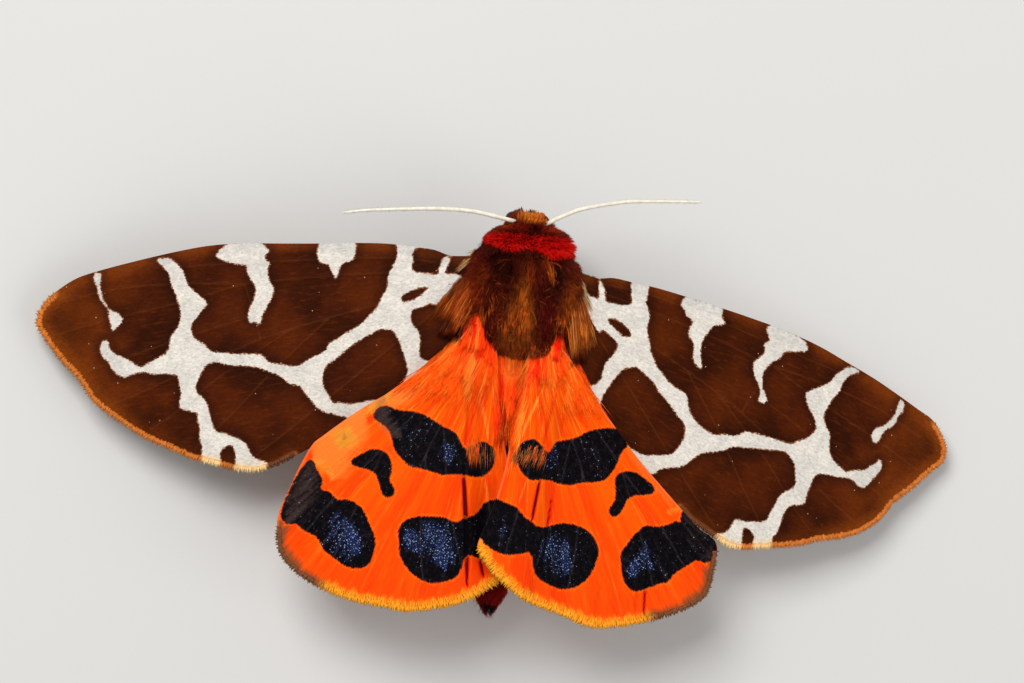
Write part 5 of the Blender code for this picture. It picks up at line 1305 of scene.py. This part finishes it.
def laid_hair(name, roots, tips, height, rise, colours, slot, width, tip_rise, bridge=0.0,
              shade=(0.75, 1.15), vary=(0.6, 1.3)):
    """Hair that lies over whatever is below it, from flat root places to flat tip places.

    bridge is the height that it keeps at least at y = -5, falling a little to the rear.
    """
    count = len(roots)
    middles = 0.45 * roots + 0.55 * tips
    base, crest, end = (np.maximum(height(places), bridge + 0.06 * (places[:, 1] + 5))
                        for places in (roots, middles, tips))
    end = np.maximum(end, base - 1.2)
    root = np.column_stack((roots, base - 0.05))
    middle = np.column_stack((middles, np.maximum(crest, 0.5 * (base + end)) + rise))
    tip = np.column_stack((tips, end + tip_rise * drawn(0.3, 1.6, count)))
    up = np.tile((0.0, 0.0, 1.0), (count, 1))
    tone = colours * drawn(*vary, (count, 1))
    # Colour scaled by shade from root to tip; where the root is darker, that is painted shade among the hair.
    strands(name, root, middle, tip, up, width * drawn(0.7, 1.2, count), (tone * shade[0], tone * shade[1]),
            (roots - BAKE_LAID[0]) / BAKE_LAID[1], slot)


def picked(colours, weights, count):
    """A colour for each hair, drawn from a few."""
    palette = np.array([rgb(*colour) for colour in colours])
    return palette[rng.choice(len(colours), count, p=weights)]


def build_forewing(name, hinge, outline, ends, turn, net, islands, marks, material):
    """A forewing with its cream net and marks, the brown islands in it, and its fringe."""

    def values(plan):
        mark = np.maximum(np.minimum(depth_of(plan, (net,)), -depth_of(plan, islands)), depth_of(plan, marks))
        low = smoothstep((-0.95 - 0.6 * plan[:, 0] - plan[:, 1]) / 0.3)
        # Darker at the rear corner of the root, where the cream is taken out.
        dark_root_corner = 0.7 * smoothstep((2.4 - plan[:, 0]) / 1.2) * low
        mark = mark - 3 * dark_root_corner
        costa = np.interp(plan[:, 0], [p[0] for p in outline[:17]], [p[1] for p in outline[:17]]) - plan[:, 1]
        # The warm mask: a warmer brown near the costa and the tip, and painted shade on the cream there.
        warm_and_shade = 0.6 * (1 - smoothstep(costa / 1.3)) + 0.45 * smoothstep((plan[:, 0] - 20) / 9)
        return {"mark": mark, "warm_and_shade": warm_and_shade, "dark_root_corner": dark_root_corner}

    veins = [[(u, v + turn * u) for u, v in line] for line in FORE_VEINS]
    sheet = wing_sheet(name, hinge, outline, ends, veins, fore_lift, None, values, material, "forewing")

    def fringe_colour(plan):
        cream = smoothstep((depth_of(plan, (net,)) + 0.1) / 0.3)[:, None]
        cream = cream * smoothstep((-depth_of(plan, islands) + 0.15) / 0.3)[:, None]
        inner = smoothstep((18.5 - plan[:, 0]) / 2.0)[:, None]
        tone = blend(rgb(*FORE_FRINGE_TAN), rgb(*FORE_FRINGE_BROWN), inner)
        return blend(tone, rgb(*FORE_FRINGE_CREAM), cream)

    fringe(name + "_fringe", hinge, outline, ends, fore_lift, None, fringe_colour, "forewing",
           FORE_FRINGE_ROOT, lambda line: smoothstep((17.0 - line[:, 0]) / 1.5))
    return sheet


def build_hindwing(name, hinge, outline, ends, fold, veins, spots, strokes, material, tan_end):
    """A hindwing with its spots, its strokes and a fringe that is brown in front of tan_end."""

    def tan(plan):
        return smoothstep((plan[:, 1] - tan_end) / 1.2) * (plan[:, 0] > 12)

    def values(plan):
        out, forward = (plan - RAY_START).T
        angle = np.degrees(np.arctan2(-forward, out))
        ray = np.column_stack((angle, np.hypot(out, forward), np.zeros(len(plan))))
        found = {label: strength_of(plan, lines) for label, lines in strokes.items()}
        return {"mark": depth_of(plan, spots), "ray": ray, "tan": tan(plan), **found}

    sheet = wing_sheet(name, hinge, outline, ends, veins, hind_lift, fold, values, material, "hindwing")

    def fringe_colour(plan):
        return blend(rgb(*HIND_FRINGE_GOLD), rgb(*HIND_FRINGE_BROWN), tan(plan)[:, None])

    fringe(name + "_fringe", hinge, outline, ends, hind_lift, fold, fringe_colour, "hindwing",
           HIND_FRINGE_ROOT, tan)
    return sheet


forewing_scales = forewing_material()
hindwing_scales = hindwing_material()
fore_left = build_forewing("forewing_left", FORE_LEFT, FORE_LEFT_OUTLINE, FORE_LEFT_FRINGE, 0.0, NET_LEFT,
                           LEFT_ISLANDS, LEFT_MARKS, forewing_scales)
fore_right = build_forewing("forewing_right", FORE_RIGHT, FORE_RIGHT_OUTLINE, FORE_RIGHT_FRINGE,
                            FORE_RIGHT_TURN, NET_RIGHT, RIGHT_ISLANDS, RIGHT_MARKS, forewing_scales)
hind_left = build_hindwing("hindwing_left", HIND_LEFT, HIND_LEFT_OUTLINE, HIND_LEFT_FRINGE, FOLD_LEFT,
                           HIND_VEINS + (HIND_LEFT_COSTAL,), HIND_LEFT_SPOTS, LEFT_STROKES,
                           hindwing_scales, -7.0)
hind_right = build_hindwing("hindwing_right", HIND_RIGHT, HIND_RIGHT_OUTLINE, HIND_RIGHT_FRINGE, FOLD_RIGHT,
                            HIND_VEINS, HIND_RIGHT_SPOTS, RIGHT_STROKES, hindwing_scales, -7.6)
build_skin()

grow("thorax_fur", 6500, (2.85, -1.0), (-86, 86), 1.45, "thorax", side=0.1, stand=0.26, clump=0.5,
     gleam=0.3)
grow("thorax_rear_fur", 2600, (-1.0, -3.9), (-50, 50), 1.4, "thorax", stand=0.26, clump=0.5, gleam=0.35)
grow("thorax_long_fur", 3800, (2.2, -2.9), (-46, 46), 1.9, "thorax", stand=0.24, arch=0.3, width=0.042,
     clump=0.8, cell=0.3, wild=0.12, gleam=0.6, shade=(0.3, 1.9))
grow("thorax_stray_hair", 420, (2.6, -3.0), (-70, 70), 1.5, "thorax", lie=1.0, stand=0.35, arch=0.4,
     width=0.026, clump=0.0, gleam=4.0)
grow("thorax_under_fur", 4500, (2.6, -4.2), (88, 272), 1.8, "thorax", stand=0.3)
for shoulder, turned in (("left", -1), ("right", 1)):
    grow("shoulder_fur_" + shoulder, 1900, (3.1, 0.6), (turned * 45, turned * 98), 1.0, "thorax",
         lie=0.5, stand=0.75, arch=0.6)
grow("collar_fur", 5200, (4.15, 2.72), (-112, 112), 0.85, "collar", lie=1.2, stand=0.8, arch=0.6,
     clump=0.6, cell=0.17, bias=0.25, vary=(0.3, 1.6), shade=(0.65, 2.0))
grow("collar_under_fur", 1400, (4.1, 2.6), (112, 248), 0.9, "collar", stand=0.5)
grow("brow_fur", 1500, (4.95, 4.45), (-36, 36), 0.8, "head", heading=180, lie=0.1, stand=0.5, arch=0.4,
     width=0.034, clump=0.93, cell=0.22, bias=0.1, gleam=1.2, vary=(0.8, 1.3), shade=(0.2, 2.8))
for cheek, turned in (("left", -1), ("right", 1)):
    grow("cheek_fur_" + cheek, 700, (5.2, 4.55), (turned * 34, turned * 92), 0.5, "head", heading=180,
         lie=0.4, side=-0.6, stand=0.6, arch=0.4)
grow("crown_fur", 3000, (4.7, 3.95), (-105, 105), 0.62, "head", lie=1.2, stand=0.8, arch=0.6,
     clump=0.4, cell=0.18, bias=0.3, gleam=0.15)
grow("face_fur", 2400, (5.4, 4.5), (44, 316), 0.3, "head", heading=180, stand=0.5, lie=0.5)
grow("abdomen_fur", 12000, (-4.7, -21.4), (-180, 180), 1.3, "abdomen", stand=0.16, clump=0.3)
grow("tail_fur", 1600, (-20.2, -21.9), (-180, 180), 1.5, "abdomen", stand=0.25)

over_wings = height_finder(hind_left, hind_right, fore_left, fore_right, bpy.data.objects["skin"])


def build_tegula(name, side, tips, tones):
    """The long tuft over a forewing's root, sweeping back and out to a row of tips."""
    count = TUFT_HAIRS
    spread = rng.random(count)
    y = drawn(2.2, -1.2, count) - 0.3 * spread
    angle = side * (86 - 29 * spread + rng.normal(0, 3, count))
    root, out, _, _ = skin_frame(y, angle)
    target = np.array(tips[0]) + np.outer(spread, np.subtract(tips[1], tips[0]))
    target += rng.normal(0, 1, (count, 2)) * (0.3, 0.35)
    lock = numbered(np.floor(np.column_stack((spread * 11, y / 0.7))))
    share = drawn(0.5, 0.85, (count, 1)) * drawn(0.75, 1.3, lock.max() + 1)[lock][:, None]
    flat = root[:, :2] + (target - root[:, :2]) * share
    end = np.column_stack((flat, np.maximum(over_wings(flat) + drawn(0.1, 0.45, count), root[:, 2] - 0.6)))
    middle = 0.5 * (root + end) + out * 0.35 + np.array((0, 0, 0.35))
    end = gathered(end, lock, 0.7)
    fade = smoothstep(share * 1.2 - 0.2)
    tone = picked(tones, (0.45, 0.35, 0.2), count)
    tone = blend(patched(plain(COAT_BASE, count), root[:, 0], y, TOP_PATCHES), tone, fade)
    tone = tone * drawn(0.65, 1.35, (count, 1)) * drawn(0.75, 1.25, lock.max() + 1)[lock][:, None]
    # Darker at the root than at the tip: painted shade among the hair.
    strands(name, root - out * 0.1, middle, end, out, drawn(0.035, 0.06, count),
            (tone * 0.7, tone * 1.5), bake_place(y, angle), "thorax")


for half, turned, tuft_tips, tuft_tones in (
        ("left", -1, ((-6.3, -2.8), (-4.4, -4.1)), ((180, 78, 20), (138, 46, 12), (206, 124, 52))),
        ("right", 1, ((6.1, -3.9), (4.1, -5.2)), ((188, 90, 22), (148, 56, 14), (218, 146, 72)))):
    build_tegula("tegula_" + half, turned, tuft_tips, tuft_tones)

# Colours of the hair at the hindwings' roots
ROOT_ORANGE, ROOT_LIGHT, ROOT_RED = (255, 96, 12), (255, 160, 50), (246, 30, 6)
ROOT_PATCHES = (
    (-4.3, -4.7, 0.9, 1.0, (255, 118, 26), 0.8), (0.0, -5.4, 0.9, 0.5, (255, 142, 50), 0.9),
    (-2.6, -4.8, 1.4, 0.9, (255, 46, 9), 0.9), (1.5, -5.2, 0.5, 0.8, (232, 26, 6), 0.85),
    (2.4, -4.4, 1.2, 0.9, (255, 58, 12), 0.85), (-3.1, -2.9, 0.9, 1.3, (222, 10, 5), 1.0),
    (2.7, -3.1, 0.7, 1.3, (244, 20, 8), 1.0), (-0.6, -7.0, 0.4, 1.3, (250, 40, 16), 0.85),
    (0.35, -6.9, 0.3, 1.1, (255, 60, 22), 0.75), (-0.5, -9.2, 0.45, 0.8, (222, 24, 10), 0.85),
    (-0.25, -10.5, 0.35, 1.2, (150, 12, 6), 0.85), (-2.9, -6.5, 0.28, 1.8, (255, 168, 60), 0.75),
    (-2.0, -9.4, 0.3, 1.5, (255, 176, 74), 0.8), (1.05, -9.4, 0.3, 1.3, (255, 168, 60), 0.7),
    (2.4, -6.5, 0.5, 1.0, (255, 150, 40), 0.6), (3.6, -6.5, 0.6, 1.2, (255, 138, 34), 0.6))


def build_root_hair(name, count, front, rear, length, pull, rise=0.06, bridge=0.0):
    """Fine hair over the meeting hindwings, spreading from the thorax and drawn in below.

    front and rear are rows of roots as y, least x and greatest x; the hair thins to the rear.
    """
    back = rng.random(count) ** 1.5
    y, low, high = (front[k] + back * (rear[k] - front[k]) for k in range(3))
    roots = np.column_stack((low + (high - low) * rng.random(count), y))
    size = drawn(*length, count)
    lean = pull * (roots[:, 0] + 0.2) + rng.normal(0, 0.06, count)
    tips = roots + size[:, None] * np.column_stack((np.sin(lean), -np.cos(lean)))
    middle = 0.5 * (roots + tips)
    tone = patched(plain(ROOT_ORANGE, count), middle[:, 0], middle[:, 1], ROOT_PATCHES)
    band = np.sin(9.0 * roots[:, 0] + 1.3 * np.sin(4.1 * roots[:, 0])) + rng.normal(0, 0.5, count)
    tone = np.where(band[:, None] > 0.9, 0.4 * tone + 0.6 * rgb(*ROOT_LIGHT), tone)
    tone = np.where(band[:, None] < -1.0, 0.5 * tone + 0.5 * rgb(*ROOT_RED), tone)
    laid_hair(name, roots, tips, over_wings, rise, tone, "hindwing", width=0.038, tip_rise=0.02,
              bridge=bridge, shade=(1.05, 1.25), vary=(0.85, 1.15))


# Colours of loose hair: at the spots, along the tufts' edges, and in the gaps beside them, whose dark colours
# are painted shade
SPOT_TONES = ((250, 106, 26), (186, 116, 66), (120, 74, 46), (30, 20, 20))
PALE = ((236, 186, 124), (206, 132, 70), (246, 216, 168), (130, 60, 24))
SHADY = ((56, 16, 9), (98, 34, 13), (150, 66, 22))


def build_spot_hair(name, count, x, edge, reach, slant, weights):
    """Hair that hangs over the inner end of a hindwing's first spot."""
    roots = np.column_stack((drawn(*x, count), edge + drawn(0.45, -0.35, count)))
    length = drawn(*reach, count)
    tips = roots + np.column_stack((rng.normal(-slant * length, 0.14, count), -length))
    laid_hair(name, roots, tips, over_wings, 0.04, picked(SPOT_TONES, weights, count), "hindwing",
              width=0.032, tip_rise=0.02, shade=(1.15, 0.9), vary=(0.85, 1.15))


# Rear edge of the thorax's coat
APRON_EDGE_X = (-2.45, -2.2, -1.9, -1.4, -0.7, 0.3, 1.3, 2.1, 2.4, 2.6)
APRON_EDGE_Y = (-2.3, -3.0, -3.6, -4.2, -4.6, -4.75, -4.6, -4.2, -3.3, -2.5)


def build_apron():
    """The rear edge of the thorax's coat, lying over the hindwings' roots."""
    count = APRON_HAIRS
    x, y = drawn(APRON_EDGE_X[0], APRON_EDGE_X[-1], count), drawn(-1.8, -3.9, count)
    edge = np.interp(x, APRON_EDGE_X, APRON_EDGE_Y) + rng.normal(0, 0.14, count)
    roots = np.column_stack((x, np.maximum(y, edge + 0.5)))
    tips = np.column_stack((x * 0.96 + rng.normal(0, 0.15, count), np.maximum(roots[:, 1] - 1.5, edge)))
    tone = patched(plain(COAT_BASE, count), x, 0.5 * (roots + tips)[:, 1], TOP_PATCHES)
    light = rng.random((count, 1)) < 0.25
    tone = np.where(light, 0.3 * tone + 0.7 * rgb(*GLEAM), tone)
    laid_hair("thorax_apron", roots, tips, over_wings, 0.45, tone, "thorax", width=0.05, tip_rise=0.2,
              bridge=8.6, shade=(0.7, 1.4))


def build_edge_hair(name, starts, ends, count, colours, weights):
    """Loose strands that run out from the coat along its edge over the forewing's root."""
    share = rng.random(count)[:, None]
    roots = np.array(starts[0]) + share * np.subtract(starts[1], starts[0]) + rng.normal(0, 0.05, (count, 2))
    tips = np.array(ends[0]) + share * np.subtract(ends[1], ends[0]) + rng.normal(0, 0.1, (count, 2))
    laid_hair(name, roots, tips, over_wings, 0.3, picked(colours, weights, count), "thorax",
              width=0.035, tip_rise=0.15)


build_apron()
for place, hairs, roots_front, roots_rear, lengths, *rest in (
        ("flank_hair_left", 1500, (-1.6, -3.4, -2.6), (-3.7, -3.9, -2.2), (0.9, 1.6), 0.05, 0.45),
        ("flank_hair_right", 1500, (-1.6, 2.5, 3.2), (-3.7, 2.3, 3.8), (0.9, 1.6), 0.05, 0.45),
        ("root_hair_left", 2400, (-3.6, -4.1, -1.4), (-6.8, -6.8, -1.4), (1.4, 3.0), 0.13),
        ("root_hair_right", 2200, (-3.6, 1.2, 4.0), (-6.8, 1.2, 6.0), (1.4, 3.0), 0.12),
        ("middle_hair", 3600, (-4.2, -1.7, 2.0), (-9.4, -0.9, 0.9), (1.2, 2.4), -0.2, 0.1, 8.5)):
    build_root_hair(place, hairs, roots_front, roots_rear, lengths, *rest)
for place, hairs, span, *rest in (
        ("left", 190, (-2.62, -1.8), -10.9, (0.4, 1.9), -0.1, (0.66, 0.14, 0.1, 0.1)),
        ("middle", 46, (-1.75, -0.6), -10.9, (1.1, 2.0), -0.1, (0.1, 0.3, 0.3, 0.3)),
        ("right", 80, (0.6, 1.7), -10.9, (0.8, 1.4), 0.2, (0.1, 0.35, 0.35, 0.2)),
        ("outer", 110, (1.6, 3.0), -10.7, (0.8, 1.7), 0.3, (0.5, 0.25, 0.15, 0.1))):
    build_spot_hair("spot_hair_" + place, hairs, span, *rest)
for place, *rest in (
        ("edge_hair_left", ((-3.4, 2.6), (-3.8, 1.6)), ((-4.2, 1.5), (-4.8, 0.7)), 60, PALE,
         (0.35, 0.3, 0.15, 0.2)),
        ("edge_hair_right", ((3.8, 1.8), (4.2, 0.3)), ((4.5, 0.5), (5.3, -1.2)), 80, PALE,
         (0.3, 0.3, 0.2, 0.2)),
        # Dark hair over the gaps beside the tufts: painted shade.
        ("gap_hair_left", ((-4.7, -1.8), (-3.3, -2.3)), ((-5.5, -4.0), (-3.9, -4.1)), 400, SHADY,
         (0.5, 0.3, 0.2)),
        ("gap_hair_right", ((4.5, -1.8), (3.3, -2.5)), ((5.2, -4.7), (3.9, -5.0)), 320, SHADY,
         (0.5, 0.3, 0.2))):
    build_edge_hair(place, *rest)

ivory = shell_material("ivory", (244, 238, 222), (230, 220, 198), 0.5)
leg_shell = shell_material("leg_shell", (92, 44, 24), (44, 22, 14), 0.4)
dark_shell = shell_material("dark_shell", (46, 26, 16), (20, 12, 9), 0.3)
for half, middle_line in ANTENNAS.items():
    build_antenna("antenna_" + half, middle_line, ivory)
eye_gloss = eye_material()
for half in ("left", "right"):
    build_eye("eye_" + half, eye_gloss)
build_mouth(dark_shell)
for leg in LEGS:
    for leg_side in (-1, 1):
        build_leg(leg, leg_side, leg_shell, dark_shell)


def build_floor():
    paint = Paint("floor", 0.8, Specular_IOR_Level=0.2)
    tone = paint.mix(paint.noise(paint.where(), 9.0, 3.0), (222, 221, 218), (214, 213, 210))
    bpy.ops.mesh.primitive_plane_add(size=2.0, location=(0, 0, 0))
    floor = bpy.context.object
    floor.name = "floor"
    floor.data.materials.append(paint.colour(tone))


def add_light(name, place, size, energy):
    light = bpy.data.lights.new(name, "AREA")
    light.size = size
    light.energy = energy
    made = bpy.data.objects.new(name, light)
    bpy.context.collection.objects.link(made)
    made.location = place
    made.rotation_euler = (-Vector(place)).to_track_quat("-Z", "Y").to_euler()


def add_camera():
    """The photo's viewpoint: nearly straight down, with the moth rolled a little."""
    tilt, roll = math.radians(TILT), math.radians(ROLL)
    forward = Vector((math.sin(tilt), 0.0, -math.cos(tilt)))
    level = forward.cross(Vector((0, 1, 0))).normalized()
    ahead = level.cross(forward)
    right = math.cos(roll) * level + math.sin(roll) * ahead
    up = math.cos(roll) * ahead - math.sin(roll) * level
    scale = DISTANCE * SENSOR / (LENS * PHOTO_WIDTH)
    aim = Vector(AIM) + Vector(PLACE)
    aim -= right * (AIM_PIXEL[0] - PHOTO_WIDTH / 2) * scale
    aim -= up * (PHOTO_HEIGHT / 2 - AIM_PIXEL[1]) * scale
    lens = bpy.data.cameras.new("camera")
    lens.lens = LENS
    lens.sensor_width = SENSOR
    lens.clip_start = 0.01
    camera = bpy.data.objects.new("camera", lens)
    bpy.context.collection.objects.link(camera)
    turned = Matrix((right, up, -forward)).transposed().to_4x4()
    turned.translation = (aim - forward * DISTANCE) * MM
    camera.matrix_world = turned
    bpy.context.scene.camera = camera


build_floor()
for light_name, setting in LIGHTS.items():
    add_light(light_name, *setting)
world = bpy.data.worlds.new("studio")
world.use_nodes = True
sky = world.node_tree.nodes["Background"]
sky.inputs["Color"].default_value = (1, 1, 1, 1)
sky.inputs["Strength"].default_value = SKY
bpy.context.scene.world = world
bpy.context.scene.view_settings.view_transform = "Standard"
add_camera()
